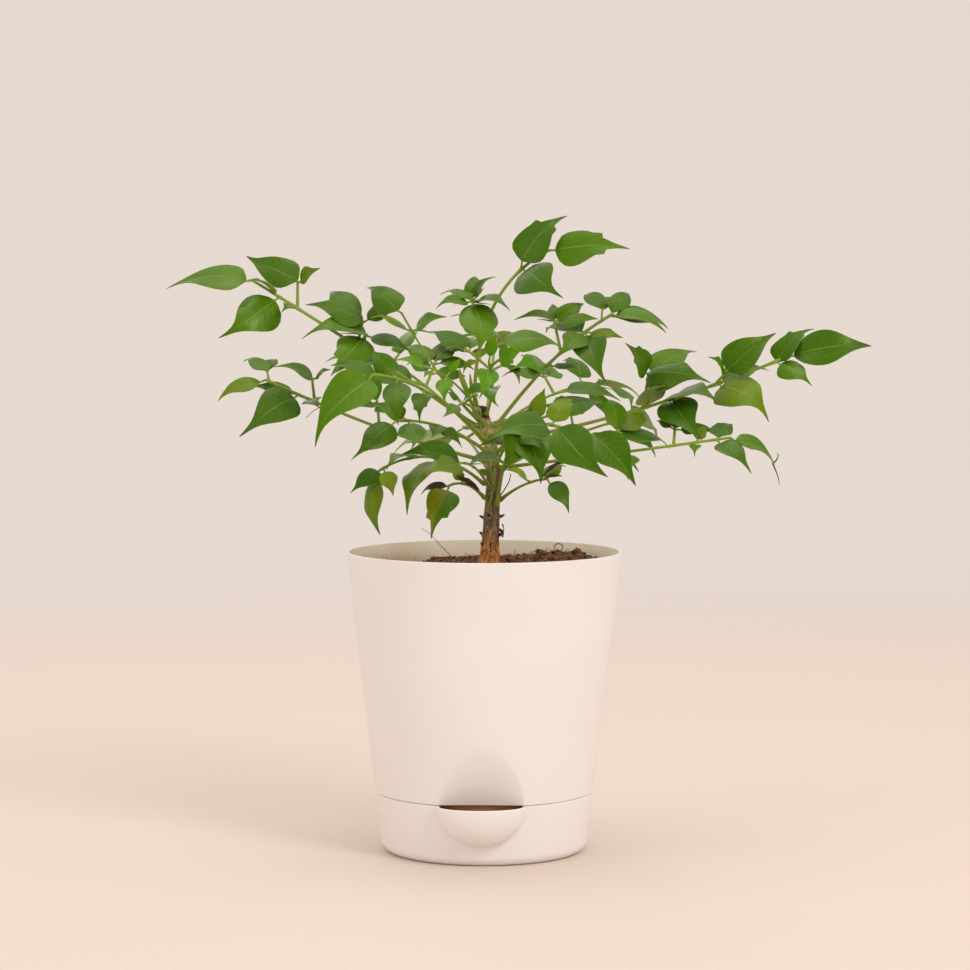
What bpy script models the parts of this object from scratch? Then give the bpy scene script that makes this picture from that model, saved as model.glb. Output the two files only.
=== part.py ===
# Potted china doll plant: a young tree with a leaning trunk and compound leaves,
# in a tapered plastic pot that stands in a matching water tray with a filling scoop.
# Metres, +Z up, origin at the middle of the tray's flat underside, front towards -Y.

import math
import random

import bmesh
import bpy
from mathutils import Matrix, Vector
from mathutils.bvhtree import BVHTree

GAP = 0.0003

# Pot and tray, one continuous taper outside.
RIM_RADIUS = 0.0600
POT_HEIGHT = 0.1306
BASE_RADIUS = 0.0444
SEAM_HEIGHT = 0.0260
WALL = 0.0018
RIM_WALL = 0.0014
FOOT_ROUND = 0.0045
TRAY_FLOOR = 0.0022
POT_FLOOR = 0.0020
PLUG_INSET = 0.0062
PLUG_BOTTOM = 0.0060
TURNED_STEPS = 48

# Filling scoop on the tray and the hollow above it in the pot, both ellipsoids.
SCOOP_X = -0.0014
SCOOP_Y = -0.0450
SCOOP_SIZE = (0.0192, 0.0122, 0.0172)
SCOOP_WALL = 0.0015
DENT_Y = -0.0500
DENT_SIZE = (0.0195, 0.0070, 0.0245)

# Potting mix, lower on the left, heaped at the right and the back.
SOIL_HEIGHT = 0.1232
SOIL_PLATEAU = 0.0085
SOIL_RINGS = (0.0085, 0.0200, 0.0320, 0.0440)
SOIL_HEAPS = {
    "right_back": dict(x=0.034, y=0.026, high=0.0042, wide=0.020),
    "right_front": dict(x=0.036, y=-0.020, high=0.0022, wide=0.018),
    "near_left": dict(x=-0.016, y=0.006, high=0.0020, wide=0.009),
    "far_left": dict(x=-0.044, y=0.004, high=-0.0050, wide=0.024),
}

# Stations of the trunk: place across, height and radius. It leans right, then back left
# to the cut where it was pruned.
TRUNK_STATIONS = (
    (0.0020, 0.1235, 0.0056),
    (0.0022, 0.1262, 0.0044),
    (0.0026, 0.1330, 0.0038),
    (0.0033, 0.1460, 0.0034),
    (0.0041, 0.1630, 0.0030),
    (0.0030, 0.1765, 0.0029),
    (0.0004, 0.1860, 0.0029),
    (-0.0018, 0.1935, 0.0026),
)
TRUNK_RINGS = 15

# Where most of the light comes from: blades turn their upper sides to it.
LIGHT = Vector((0.08, -0.72, 0.69)).normalized()

# Leaf shape.
BLADE_WIDE = 0.54
BLADE_THICK = 0.0007
BLADE_FOLD = 0.16
BLADE_ARCH = 0.24
TWIST = 26
WOBBLE = 5
LIFT = Vector((0.0, 0.0, 0.42))
SIDE_SHRINK = 0.76
PETIOLULE = 0.0028
STALK_HALF = 0.00042
GUARD = 0.0004

# How the photograph's pixels were turned into places: the camera's distance, height and
# downward angle, its focal length in pixels and the pixel and place of its axis.
SIGHT = dict(away=1.3208, high=0.24406, down=3.671, focus=3045.2, middle=485.0, across=0.00036)

# Compound leaves. "low" is the height on the trunk where the stalk leaves it, "tip" the
# place where the end leaflet starts, "bend" how far the middle of the stalk lies off the
# straight line.
# Those that the photograph shows have "sprigs", from the trunk out: place along the stalk,
# where the side stalk ends, and the leaflets on it. A leaflet is where its tip is seen and
# how far its face leans from straight up to the front, in degrees, with a roll if it has
# one. A place is seen at a pixel across and down, so many millimetres nearer than the
# middle of the pot.
# Those behind have "pairs": place along the stalk, length of the two side stalks,
# leaflets on each and the length of those leaflets.
FRONDS = {
    "left_high": dict(
        low=0.1850, tip=(-0.0990, -0.016, 0.2480), bend=(0.000, -0.002, 0.001),
        sprigs=(
            (0.43, None, ((335, 373, 26, 22),)),
            (0.51, (366, 334, 11), ((302, 339, 18, 22), (411, 352, 18, 25), (331, 376, 34, 65))),
            (0.535, (363, 321, 9), ((306, 305, 10, 36), (331, 292, -10, 22), (404, 298, 4, 35))),
            (0.80, (298, 281, 13), ((247, 256, 2, 52), (321, 268, 24, 62))),
            (0.82, None, ((281, 313, 27, 52),)),
            (0.88, None, ((246, 281, 25, 20), (219, 338, 27, 72))),
        ),
        end=(167, 289, 12, 44), thick=0.0012, seed=11),
    "left_centre": dict(
        low=0.1880, tip=(-0.0350, -0.024, 0.2340), bend=(0.001, -0.003, -0.005),
        sprigs=(
            (0.88, None, ((370, 318, 24, 22), (447, 317, 35, 50))),
        ),
        end=(367, 288, 4, 60), thick=0.0010, seed=12),
    "top": dict(
        low=0.1900, tip=(0.0280, -0.004, 0.2610), bend=(-0.009, 0.003, 0.009),
        sprigs=(
            (0.41, (471, 299, 2), (
                (440, 295, -6, 22), (475, 277, -14, 35), (496, 277, 4, 35),
                (436, 309, 12, 38), (510, 311, 16, 28), (478, 352, 27, 74))),
            (0.80, (522, 261, 4), ((567, 216, -2, 55),)),
            (0.81, None, ((563, 298, 25, 72),)),
        ),
        end=(629, 249, 8, 60), thick=0.0012, seed=13),
    "right_high": dict(
        low=0.1850, tip=(0.0550, -0.010, 0.2335), bend=(0.000, 0.000, 0.005),
        sprigs=(
            (0.45, None, ((511, 370, 22, 62), (582, 375, 4, 26))),
            (0.56, (554, 321, 3), (
                (514, 320, 8, 24), (598, 319, 10, 28), (551, 304, -9, 32), (584, 304, -10, 40))),
            (0.77, None, ((557, 357, 24, 42), (607, 384, 28, 70), (623, 338, 16, 32), (546, 333, -16, 28))),
            (0.91, (602, 309, 6), ((584, 297, -10, 24), (620, 300, -9, 24))),
            (0.98, None, ((628, 294, -8, 35), (668, 329, 0, 30))),
        ),
        end=(666, 333, 22, 26), thick=0.0012, seed=41),
    "right_long": dict(
        low=0.1780, tip=(0.1320, 0.004, 0.2150), bend=(0.000, 0.004, -0.004),
        sprigs=(
            (0.50, (649, 373, -2), ((711, 383, 10, 38), (697, 352, -18, 55), (625, 343, 13, 58))),
            (0.51, None, ((664, 387, 18, 42),)),
            (0.59, None, ((720, 404, 20, 28), (702, 440, 22, 62))),
            (0.75, (727, 371, -4), ((776, 333, -12, 60), (708, 357, 10, 58))),
            (0.76, None, ((769, 371, -18, 28), (769, 422, 17, 66))),
            (0.95, (777, 362, -5), ((814, 329, -12, 32),)),
            (0.96, None, ((812, 386, 8, 62),)),
        ),
        end=(871, 346, -6, 46), thick=0.0013, seed=15),
    "right_low": dict(
        low=0.1670, tip=(0.1050, -0.022, 0.1810), bend=(0.000, -0.005, 0.000),
        sprigs=(
            (0.51, (617, 430, 20), ((608, 400, 4, 34), (670, 449, 6, 32), (645, 413, 0, 32))),
            (0.54, None, ((629, 480, 38, 66),)),
            (0.755, (675, 428, 8), ((672, 408, -8, 34), (719, 433, 8, 24), (657, 421, 0, 36))),
            (0.85, None, ((695, 457, 34, 48), (706, 428, 10, 34))),
            (0.94, None, ((752, 474, 33, 34), (730, 425, 4, 28))),
        ),
        end=(775, 466, 18, 30), thick=0.0011, seed=16),
    "front_right": dict(
        low=0.1510, tip=(0.0290, -0.062, 0.1880), bend=(-0.004, 0.010, 0.011),
        sprigs=(
            (0.66, None, ((541, 484, 60, 66), (500, 476, 54, 50))),
            (0.96, (594, 436, 64), ((636, 486, 76, 52),)),
            (0.97, None, ((487, 441, 78, 60), (574, 401, 42, 40))),
        ),
        end=(608, 477, 80, 64), thick=0.0012, seed=17),
    "back_right": dict(
        low=0.1820, tip=(0.0540, 0.078, 0.2010), bend=(0.000, 0.000, 0.005),
        pairs=((0.55, 0.010, 3, 0.021), (0.82, 0.003, 1, 0.021)),
        end=0.026, spread=60, roll=-10, droop=0.35, thick=0.0011, seed=18),
    "back_right_low": dict(
        low=0.1660, tip=(0.0640, 0.052, 0.1860), bend=(0.000, 0.000, 0.002),
        pairs=((0.58, 0.010, 3, 0.021), (0.85, 0.003, 1, 0.021)),
        end=0.027, spread=60, roll=0, droop=0.45, thick=0.0011, seed=19),
    "low_right": dict(
        low=0.1530, tip=(0.0270, -0.016, 0.1630), bend=(0.000, -0.001, 0.002),
        sprigs=(
            (0.66, None, ((506, 470, 22, 40),)),
            (0.90, None, ((566, 467, 2, 22),)),
        ),
        end=(569, 513, 24, 62), thick=0.0010, seed=20),
    "low_left": dict(
        low=0.1540, tip=(-0.0150, -0.014, 0.1600), bend=(0.000, 0.000, 0.003),
        sprigs=(
            (0.60, None, ((455, 470, 0, 42),)),
            (0.92, None, ((421, 495, 8, 40),)),
        ),
        end=(431, 539, 26, 74), thick=0.0010, seed=21),
    "left_low": dict(
        low=0.1600, tip=(-0.0460, -0.018, 0.1660), bend=(0.000, 0.000, 0.009),
        sprigs=(
            (0.45, None, ((407, 515, 32, 40, 35), (425, 452, 2, 34))),
            (0.64, None, ((386, 470, 34, 26),)),
            (0.94, None, ((350, 493, 24, 36), (393, 496, 30, 60))),
        ),
        end=(380, 535, 24, 80, 48), thick=0.0010, seed=22),
    "left_long": dict(
        low=0.1700, tip=(-0.0950, 0.004, 0.2050), bend=(0.002, 0.002, -0.0035),
        sprigs=(
            (0.50, (377, 400, 4), ((366, 372, -14, 34), (352, 408, 14, 40), (396, 419, 16, 46))),
            (0.79, (312, 378, -3), ((274, 367, 2, 40), (331, 370, 6, 46))),
            (0.81, None, ((320, 408, 14, 42),)),
            (0.86, None, ((252, 387, -10, 32), (239, 437, 12, 72))),
            (0.985, (267, 371, -5), ((243, 362, -18, 24), (276, 360, -18, 24))),
        ),
        end=(218, 401, 4, 40), thick=0.0012, seed=23),
    "front_left": dict(
        low=0.1800, tip=(-0.0460, -0.062, 0.2090), bend=(0.000, 0.000, 0.006),
        sprigs=(
            (0.55, None, ((420, 424, 50, 66),)),
            (0.79, None, ((398, 425, 70, 68), (372, 350, 40, 34))),
            (0.94, None, ((330, 366, 52, 30),)),
        ),
        end=(315, 447, 76, 64), thick=0.0012, seed=24),
    "front_mid_left": dict(
        low=0.1745, tip=(-0.0370, -0.044, 0.1890), bend=(0.000, 0.000, 0.004),
        sprigs=(
            (0.52, None, ((431, 438, 40, 62), (462, 448, 32, 40))),
            (0.86, None, ((411, 449, 60, 70), (372, 404, 32, 42))),
        ),
        end=(351, 460, 58, 56), thick=0.0011, seed=31),
    "front_centre": dict(
        low=0.1580, tip=(-0.0095, -0.046, 0.1715), bend=(0.000, 0.000, 0.003),
        sprigs=(
            (0.58, None, ((492, 480, 34, 40),)),
            (0.88, None, ((399, 456, 50, 40), (510, 468, 54, 42))),
        ),
        end=(424, 476, 60, 54), thick=0.0010, seed=45),
    "front_high": dict(
        low=0.1680, tip=(0.0160, -0.038, 0.1840), bend=(0.000, 0.000, 0.003),
        sprigs=(
            (0.58, None, ((478, 446, 38, 44),)),
            (0.88, None, ((497, 428, 52, 50), (531, 404, 22, 44))),
        ),
        end=(546, 452, 54, 58), thick=0.0010, seed=32),
    "front_top": dict(
        low=0.1860, tip=(-0.0100, -0.040, 0.1960), bend=(0.000, 0.000, 0.003),
        sprigs=(
            (0.60, None, ((482, 418, 40, 44),)),
            (0.90, None, ((446, 392, 38, 50), (479, 397, 50, 50))),
        ),
        end=(443, 417, 54, 60), thick=0.0010, seed=33),
    "mid_right": dict(
        low=0.1740, tip=(0.0290, -0.030, 0.1910), bend=(0.000, 0.000, 0.003),
        sprigs=(
            (0.62, None, ((545, 388, 12, 40),)),
            (0.92, None, ((602, 402, 14, 28),)),
        ),
        end=(583, 414, 44, 50), thick=0.0010, seed=34),
    "young_left": dict(
        low=0.1920, tip=(-0.0230, -0.030, 0.2110), bend=(0.001, 0.000, 0.002),
        sprigs=(
            (0.70, None, ((462, 358, 18, 34), (445, 402, 36, 46))),
            (0.92, None, ((424, 378, 38, 60),)),
        ),
        end=(394, 361, 34, 38), thick=0.0008, seed=26),
    "young_centre": dict(
        low=0.1905, tip=(0.0020, -0.020, 0.2130), bend=(0.002, 0.000, 0.000),
        sprigs=(
            (0.55, None, ((499, 407, 32, 56), (463, 402, 24, 50))),
            (0.92, (500, 359, 24), ((525, 347, 30, 62),)),
            (0.93, None, ((479, 399, 34, 68),)),
        ),
        end=(494, 332, 20, 60), thick=0.0009, seed=27),
    "back_left": dict(
        low=0.1780, tip=(-0.0520, 0.072, 0.2160), bend=(0.000, 0.000, 0.004),
        pairs=((0.50, 0.014, 5, 0.023), (0.80, 0.004, 1, 0.026)),
        end=0.030, spread=60, roll=8, droop=0.45, thick=0.0012, seed=28),
    "back_centre": dict(
        low=0.1850, tip=(0.0060, 0.092, 0.2240), bend=(0.000, 0.000, 0.004),
        pairs=((0.48, 0.014, 5, 0.022), (0.78, 0.006, 3, 0.024)),
        end=0.030, spread=60, roll=0, droop=0.45, thick=0.0012, seed=29),
    "back_low": dict(
        low=0.1620, tip=(-0.0160, 0.080, 0.1780), bend=(0.000, 0.000, 0.006),
        pairs=((0.58, 0.010, 3, 0.021), (0.84, 0.003, 1, 0.023)),
        end=0.026, spread=62, roll=0, droop=0.60, thick=0.0011, seed=30),
}

BOUGH_RINGS = 7
RACHIS_RINGS = 6
TAPER = 0.80


def clear_scene():
    for obj in list(bpy.data.objects):
        bpy.data.objects.remove(obj, do_unlink=True)


def new_collection(name):
    collection = bpy.data.collections.new(name)
    bpy.context.scene.collection.children.link(collection)
    return collection


def material(name, colour, roughness):
    made = bpy.data.materials.new(name)
    made.use_nodes = True
    shader = made.node_tree.nodes["Principled BSDF"]
    shader.inputs["Base Color"].default_value = (*colour, 1.0)
    shader.inputs["Roughness"].default_value = roughness
    shader.inputs["Metallic"].default_value = 0.0
    return made


def add_object(name, data, collection, finish=None):
    obj = bpy.data.objects.new(name, data)
    collection.objects.link(obj)
    if finish:
        data.materials.append(finish)
    return obj


def mesh_from(bm, name):
    mesh = bpy.data.meshes.new(name)
    bm.to_mesh(mesh)
    bm.free()
    return mesh


def as_cutter(obj):
    obj.hide_render = True
    obj.display_type = "WIRE"
    return obj


def boolean(obj, other, operation):
    modifier = obj.modifiers.new(other.name, "BOOLEAN")
    modifier.operation = operation
    modifier.object = other
    modifier.solver = "EXACT"


def evaluated_mesh(obj):
    graph = bpy.context.evaluated_depsgraph_get()
    return bpy.data.meshes.new_from_object(obj.evaluated_get(graph))


# Pot, tray and potting mix

def outer_radius(z):
    return BASE_RADIUS + (RIM_RADIUS - BASE_RADIUS) * z / POT_HEIGHT


def turned(name, profile, collection, finish=None):
    # The profile runs out from the axis, up any inner side and down the outer side.
    mesh = bpy.data.meshes.new(name)
    links = [(i, i + 1) for i in range(len(profile) - 1)]
    mesh.from_pydata([(radius, 0.0, z) for radius, z in profile], links, [])
    obj = add_object(name, mesh, collection, finish)
    screw = obj.modifiers.new("turn", "SCREW")
    screw.steps = TURNED_STEPS
    screw.render_steps = TURNED_STEPS
    screw.use_merge_vertices = True
    screw.merge_threshold = 0.00001
    screw.use_smooth_shade = True
    return obj


def ellipsoid(name, centre, size, collection, top=None):
    bm = bmesh.new()
    bmesh.ops.create_uvsphere(bm, u_segments=24, v_segments=12, radius=1.0)
    bmesh.ops.transform(bm, matrix=Matrix.LocRotScale(centre, None, size), verts=bm.verts)
    if top is not None:
        everything = bm.verts[:] + bm.edges[:] + bm.faces[:]
        cut = bmesh.ops.bisect_plane(
            bm, geom=everything, plane_co=(0, 0, top), plane_no=(0, 0, 1), clear_outer=True)
        rim = [part for part in cut["geom_cut"] if isinstance(part, bmesh.types.BMEdge)]
        bmesh.ops.holes_fill(bm, edges=rim)
        bmesh.ops.recalc_face_normals(bm, faces=bm.faces)
    return as_cutter(add_object(name, mesh_from(bm, name), collection))


def grown(size, more):
    return tuple(side + more for side in size)


def dent_cutter(name, more, collection):
    centre = (SCOOP_X, DENT_Y, SEAM_HEIGHT)
    return ellipsoid(name, centre, grown(DENT_SIZE, more), collection)


def foot_arc(radius, z, steps=4):
    turns = [math.radians(90 * i / steps) for i in range(steps + 1)]
    return [
        (radius - FOOT_ROUND + FOOT_ROUND * math.cos(turn), z + FOOT_ROUND - FOOT_ROUND * math.sin(turn))
        for turn in turns
    ]


def make_tray(parts, cutters, finish):
    profile = [(0.0, SEAM_HEIGHT), (outer_radius(SEAM_HEIGHT), SEAM_HEIGHT)]
    profile += foot_arc(outer_radius(FOOT_ROUND), 0.0) + [(0.0, 0.0)]
    tray = turned("tray", profile, parts, finish)
    inside = outer_radius(SEAM_HEIGHT) - WALL
    well = turned("tray_well", [
        (0.0, SEAM_HEIGHT + WALL), (inside, SEAM_HEIGHT + WALL),
        (inside - 0.0022, TRAY_FLOOR + 0.0035), (inside - 0.0055, TRAY_FLOOR), (0.0, TRAY_FLOOR),
    ], cutters)
    centre = (SCOOP_X, SCOOP_Y, SEAM_HEIGHT)
    scoop = ellipsoid("scoop_outside", centre, SCOOP_SIZE, cutters, top=SEAM_HEIGHT)
    hollow = ellipsoid("scoop_inside", centre, grown(SCOOP_SIZE, -SCOOP_WALL), cutters)
    boolean(tray, scoop, "UNION")
    boolean(tray, as_cutter(well), "DIFFERENCE")
    boolean(tray, hollow, "DIFFERENCE")
    return tray


def cavity_profile(shrink):
    # The inside of the pot: its wall thins towards the rim.
    floor = PLUG_BOTTOM + POT_FLOOR + shrink
    shoulder = SEAM_HEIGHT + 0.0020
    low = outer_radius(PLUG_BOTTOM) - PLUG_INSET - WALL - shrink
    step = outer_radius(shoulder) - PLUG_INSET - WALL - shrink
    wide = outer_radius(shoulder + 0.004) - WALL - shrink
    top = RIM_RADIUS - RIM_WALL - shrink
    return [(top, POT_HEIGHT), (wide, shoulder + 0.004), (step, shoulder), (low, floor), (0.0, floor)]


def make_pot(parts, cutters, finish):
    edge = 0.0004
    seat = SEAM_HEIGHT + GAP
    plug_top = outer_radius(seat) - PLUG_INSET
    plug_low = outer_radius(PLUG_BOTTOM) - PLUG_INSET
    pot = turned("pot", [
        (0.0, POT_HEIGHT), (RIM_RADIUS - edge, POT_HEIGHT), (RIM_RADIUS, POT_HEIGHT - edge),
        (outer_radius(seat), seat), (plug_top, seat),
        (plug_low, PLUG_BOTTOM + 0.002), (plug_low - 0.002, PLUG_BOTTOM), (0.0, PLUG_BOTTOM),
    ], parts, finish)
    cavity = cavity_profile(0.0)
    lid = POT_HEIGHT + 0.002
    cavity = [(0.0, lid), (cavity[0][0] + 0.0002, lid)] + cavity[1:]
    space = as_cutter(turned("pot_space", cavity, cutters))
    boolean(space, dent_cutter("dent_back", WALL, cutters), "DIFFERENCE")
    boolean(pot, dent_cutter("dent", 0.0, cutters), "DIFFERENCE")
    boolean(pot, space, "DIFFERENCE")
    return pot


def soil_top(x, y):
    out = math.hypot(x, y)
    lift = sum(
        heap["high"] * math.exp(-((x - heap["x"]) ** 2 + (y - heap["y"]) ** 2) / heap["wide"] ** 2)
        for heap in SOIL_HEAPS.values()
    )
    ripple = 0.0006 * math.sin(310 * x + 1.3) * math.cos(260 * y - 0.6)
    away = min(1.0, max(0.0, (out - SOIL_PLATEAU) / 0.008))
    return SOIL_HEIGHT + (lift + ripple) * away


def make_soil(parts, cutters, finish):
    inside = cavity_profile(GAP)
    slope = (inside[0][0] - inside[1][0]) / (inside[0][1] - inside[1][1])
    edge = inside[1][0] + slope * (SOIL_HEIGHT - inside[1][1])
    profile = [(0.0, SOIL_HEIGHT)] + [(ring, SOIL_HEIGHT) for ring in SOIL_RINGS]
    profile += [(edge, SOIL_HEIGHT)] + inside[1:]
    blank = turned("soil_blank", profile, cutters)
    mesh = evaluated_mesh(blank)
    bpy.data.objects.remove(blank, do_unlink=True)
    for vert in mesh.vertices:
        if vert.co.z > SOIL_HEIGHT - 0.001:
            out = math.hypot(vert.co.x, vert.co.y)
            vert.co.z = soil_top(vert.co.x, vert.co.y)
            if out > edge - 0.0001:
                fit = (edge + slope * (vert.co.z - SOIL_HEIGHT)) / out
                vert.co.x *= fit
                vert.co.y *= fit
    mesh.name = "soil"
    soil = add_object("soil", mesh, parts, finish)
    boolean(soil, dent_cutter("dent_soil", WALL + GAP, cutters), "DIFFERENCE")
    return soil


# Trunk and boughs

def trunk_at(z):
    # Place and radius of the trunk at a height, eased between the stations.
    stations = TRUNK_STATIONS
    for (x0, z0, r0), (x1, z1, r1) in zip(stations, stations[1:]):
        if z <= z1:
            break
    part = min(1.0, max(0.0, (z - z0) / (z1 - z0)))
    return Vector((x0 + (x1 - x0) * part, 0.0, z)), r0 + (r1 - r0) * part


def limb(name, points, radii, sides, collection, finish):
    curve = bpy.data.curves.new(name, "CURVE")
    curve.dimensions = "3D"
    curve.bevel_depth = 1.0
    curve.bevel_resolution = sides // 2 - 2
    curve.use_fill_caps = True
    spline = curve.splines.new("POLY")
    spline.points.add(len(points) - 1)
    for spot, point, radius in zip(spline.points, points, radii):
        spot.co = (*point, 1.0)
        spot.radius = radius
    return add_object(name, curve, collection, finish)


def welded_mesh(obj, name):
    # The curve as a mesh with its end caps joined to its sides.
    mesh = evaluated_mesh(obj)
    bm = bmesh.new()
    bm.from_mesh(mesh)
    bpy.data.meshes.remove(mesh)
    bmesh.ops.remove_doubles(bm, verts=bm.verts, dist=0.000001)
    bmesh.ops.transform(bm, matrix=obj.matrix_world, verts=bm.verts)
    bpy.data.objects.remove(obj, do_unlink=True)
    return mesh_from(bm, name)


def make_trunk(parts, finish):
    low = TRUNK_STATIONS[0][1]
    high = TRUNK_STATIONS[-1][1]
    heights = [low + (high - low) * (i / (TRUNK_RINGS - 1)) ** 1.3 for i in range(TRUNK_RINGS)]
    spots = [trunk_at(z) for z in heights]
    points, radii = zip(*spots)
    mesh = welded_mesh(limb("trunk", points, radii, 10, parts, None), "trunk")
    # The foot is cut level, on the potting mix.
    for vert in mesh.vertices:
        if vert.co.z < low + 0.0012:
            vert.co.z = low
    return add_object("trunk", mesh, parts, finish)


def frond_curve(frond):
    # Start on the trunk's side, control point and tip of the stalk.
    axis, radius = trunk_at(frond["low"])
    tip = Vector(frond["tip"])
    bend = Vector(frond["bend"])
    control = (axis + tip) / 2 + 2 * bend
    away = (control - axis).normalized()
    level = Vector((away.x, away.y, 0.0)).normalized()
    start = axis + level * (radius + GAP + 1.4 * frond["thick"] * abs(away.z) + 0.0002)
    return start, (start + tip) / 2 + 2 * bend, tip


def along(curve, part):
    start, control, tip = curve
    return start * (1 - part) ** 2 + control * 2 * part * (1 - part) + tip * part ** 2


def heading(curve, part):
    start, control, tip = curve
    return ((control - start) * (1 - part) + (tip - control) * part).normalized()


def stalk_radius(frond, part):
    return frond["thick"] * (1.22 - 0.72 * part ** TAPER)


def bough_end(frond):
    return (frond.get("sprigs") or frond["pairs"])[0][0] - 0.10


def make_bough(name, frond, parts, finish):
    curve = frond_curve(frond)
    places = [bough_end(frond) * i / (BOUGH_RINGS - 1) for i in range(BOUGH_RINGS)]
    points = [along(curve, place) for place in places]
    radii = [stalk_radius(frond, place) for place in places]
    radii[0] *= 1.15
    return limb(f"bough_{name}", points, radii, 6, parts, finish)


# Foliage

def blade_section(ring, leaf, more):
    # Place along the leaf, half width and half thickness of each ring of a leaf.
    long = leaf["long"]
    wide = long * BLADE_WIDE / 2
    sections = (
        (0.0, STALK_HALF * 1.25, STALK_HALF * 1.25),
        (0.0, STALK_HALF, STALK_HALF),
        (0.24 * long, 0.92 * wide, BLADE_THICK / 2),
        (0.56 * long, 0.82 * wide, BLADE_THICK / 2),
        (long, 0.0, 0.0),
    )
    run, half, thick = sections[ring]
    return run, half + more, thick + more


def add_leaf(bm, leaf, more=0.0):
    # A four-sided cone cut across into rings, then drawn out flat: the first ring is the
    # foot of the little stalk, the second its end, the rest the blade.
    made = bmesh.ops.create_cone(
        bm, cap_ends=True, segments=4, radius1=1.0, radius2=0.0, depth=4.0)["verts"]
    for ring in (1, 2, 3):
        part = [face for face in bm.faces if face.verts[0] in made or face.verts[1] in made]
        geom = part + list({edge for face in part for edge in face.edges})
        geom += list({vert for face in part for vert in face.verts})
        cut = bmesh.ops.bisect_plane(bm, geom=geom, plane_co=(0, 0, ring - 2), plane_no=(0, 0, 1))
        made += [new for new in cut["geom_cut"] if isinstance(new, bmesh.types.BMVert)]
    for vert in made:
        ring = round(vert.co.z + 2)
        run, half, thick = blade_section(ring, leaf, more)
        across = round(vert.co.x, 2)
        across = 0.0 if abs(across) < 0.01 else math.copysign(half, across)
        lift = 0.0 if across or ring == 4 else math.copysign(thick, vert.co.y)
        drop = BLADE_ARCH * run ** 2 / leaf["long"] - abs(across) * BLADE_FOLD
        spot = leaf["frame"] @ Vector((run, across, lift - drop))
        vert.co = spot + (leaf["root"] - leaf["base"]) * (ring == 0)


def frame_of(spot, axis, face):
    # A blade lies along X of this frame and looks along its Z.
    side = face.cross(axis).normalized()
    turned_face = axis.cross(side).normalized()
    turn = Matrix((axis, side, turned_face)).transposed().to_4x4()
    return Matrix.Translation(spot) @ turn


def make_leaf(root, way, face, stalk, long, droop, rng):
    # One leaflet on its own stalk: the blade sags below the stalk and turns to the light.
    loose = Vector((rng.uniform(-0.12, 0.12), rng.uniform(-0.12, 0.12), 0.0))
    way = way.normalized()
    sag = droop * rng.uniform(0.5, 1.4) * (1.0 - 0.75 * max(0.0, way.z))
    axis = (way + loose + Vector((0.0, 0.0, -sag))).normalized()
    turn = Matrix.Rotation(math.radians(rng.uniform(-TWIST, TWIST)), 3, axis)
    long = long * rng.uniform(0.88, 1.12)
    face = (face + 0.12 * Vector((0.0, 0.0, 1.0))).normalized()
    face = turn @ (face - axis * face.dot(axis)).normalized()
    base = root + (way * 0.7 + axis * 0.3).normalized() * stalk
    return {"root": root, "base": base, "long": long, "frame": frame_of(base, axis, face)}


def pinna(spot, way, face, stalk, count, long, droop, rng):
    # A leaflet at the end of a side stalk, with pairs of smaller ones on that stalk.
    leaves = [make_leaf(spot, way, face, stalk + PETIOLULE, long, droop, rng)]
    end = leaves[0]["base"]
    side = face.cross(way).normalized()
    for row in range((count - 1) // 2):
        foot = spot.lerp(end, 0.86 - 0.40 * row)
        for hand in (-1, 1):
            aside = way * 0.58 + side * hand * 0.81
            shorter = long * SIDE_SHRINK * (1.0 - 0.16 * row)
            leaves.append(make_leaf(foot, aside, face, PETIOLULE, shorter, droop, rng))
    return leaves


def seen(across, down, near):
    # The place that shows at a pixel, at a given nearness in millimetres.
    away = SIGHT["away"] - near / 1000
    slope = math.radians(SIGHT["down"]) + math.atan((down - SIGHT["middle"]) / SIGHT["focus"])
    x = (across - SIGHT["middle"]) / SIGHT["focus"] * away + SIGHT["across"]
    return Vector((x, -near / 1000, SIGHT["high"] - away * math.tan(slope)))


def aimed_leaf(root, base, aim, rng):
    # A leaflet whose arched blade ends at the place that its table line gives.
    tip = seen(*aim[:3])
    lean = math.radians(aim[3] + rng.uniform(-WOBBLE, WOBBLE))
    roll = math.radians(aim[4]) if len(aim) > 4 else 0.0
    if base is None:
        base = root + (tip - root).normalized() * PETIOLULE
    chord = (tip - base).normalized()
    face = Vector((0.0, -math.sin(lean), math.cos(lean)))
    face = Matrix.Rotation(roll, 3, chord) @ (face - chord * face.dot(chord)).normalized()
    rise = math.atan(BLADE_ARCH)
    axis = chord * math.cos(rise) + face * math.sin(rise)
    long = (tip - base).length * math.cos(rise)
    return {"root": root, "base": base, "long": long, "frame": frame_of(base, axis, face)}


def measured_growth(frond):
    # The side stalks and leaflets of a compound leaf that the photograph shows.
    rng = random.Random(frond["seed"])
    curve = frond_curve(frond)
    growth = []
    for place, foot, aims in frond["sprigs"]:
        spot = along(curve, place)
        if foot is None:
            growth += [[aimed_leaf(spot, None, aim, rng)] for aim in aims]
            continue
        end = seen(*foot)
        leaves = [aimed_leaf(spot, end, aims[0], rng)]
        leaves += [aimed_leaf(spot.lerp(end, 0.92), None, aim, rng) for aim in aims[1:]]
        growth.append(leaves)
    return growth + [[aimed_leaf(along(curve, 1.0), None, frond["end"], rng)]]


def facing(axis, roll):
    # The side of a stalk that looks to the light, rolled about it.
    face = (LIGHT - axis * LIGHT.dot(axis)).normalized()
    return Matrix.Rotation(math.radians(roll), 3, axis) @ face


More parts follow.
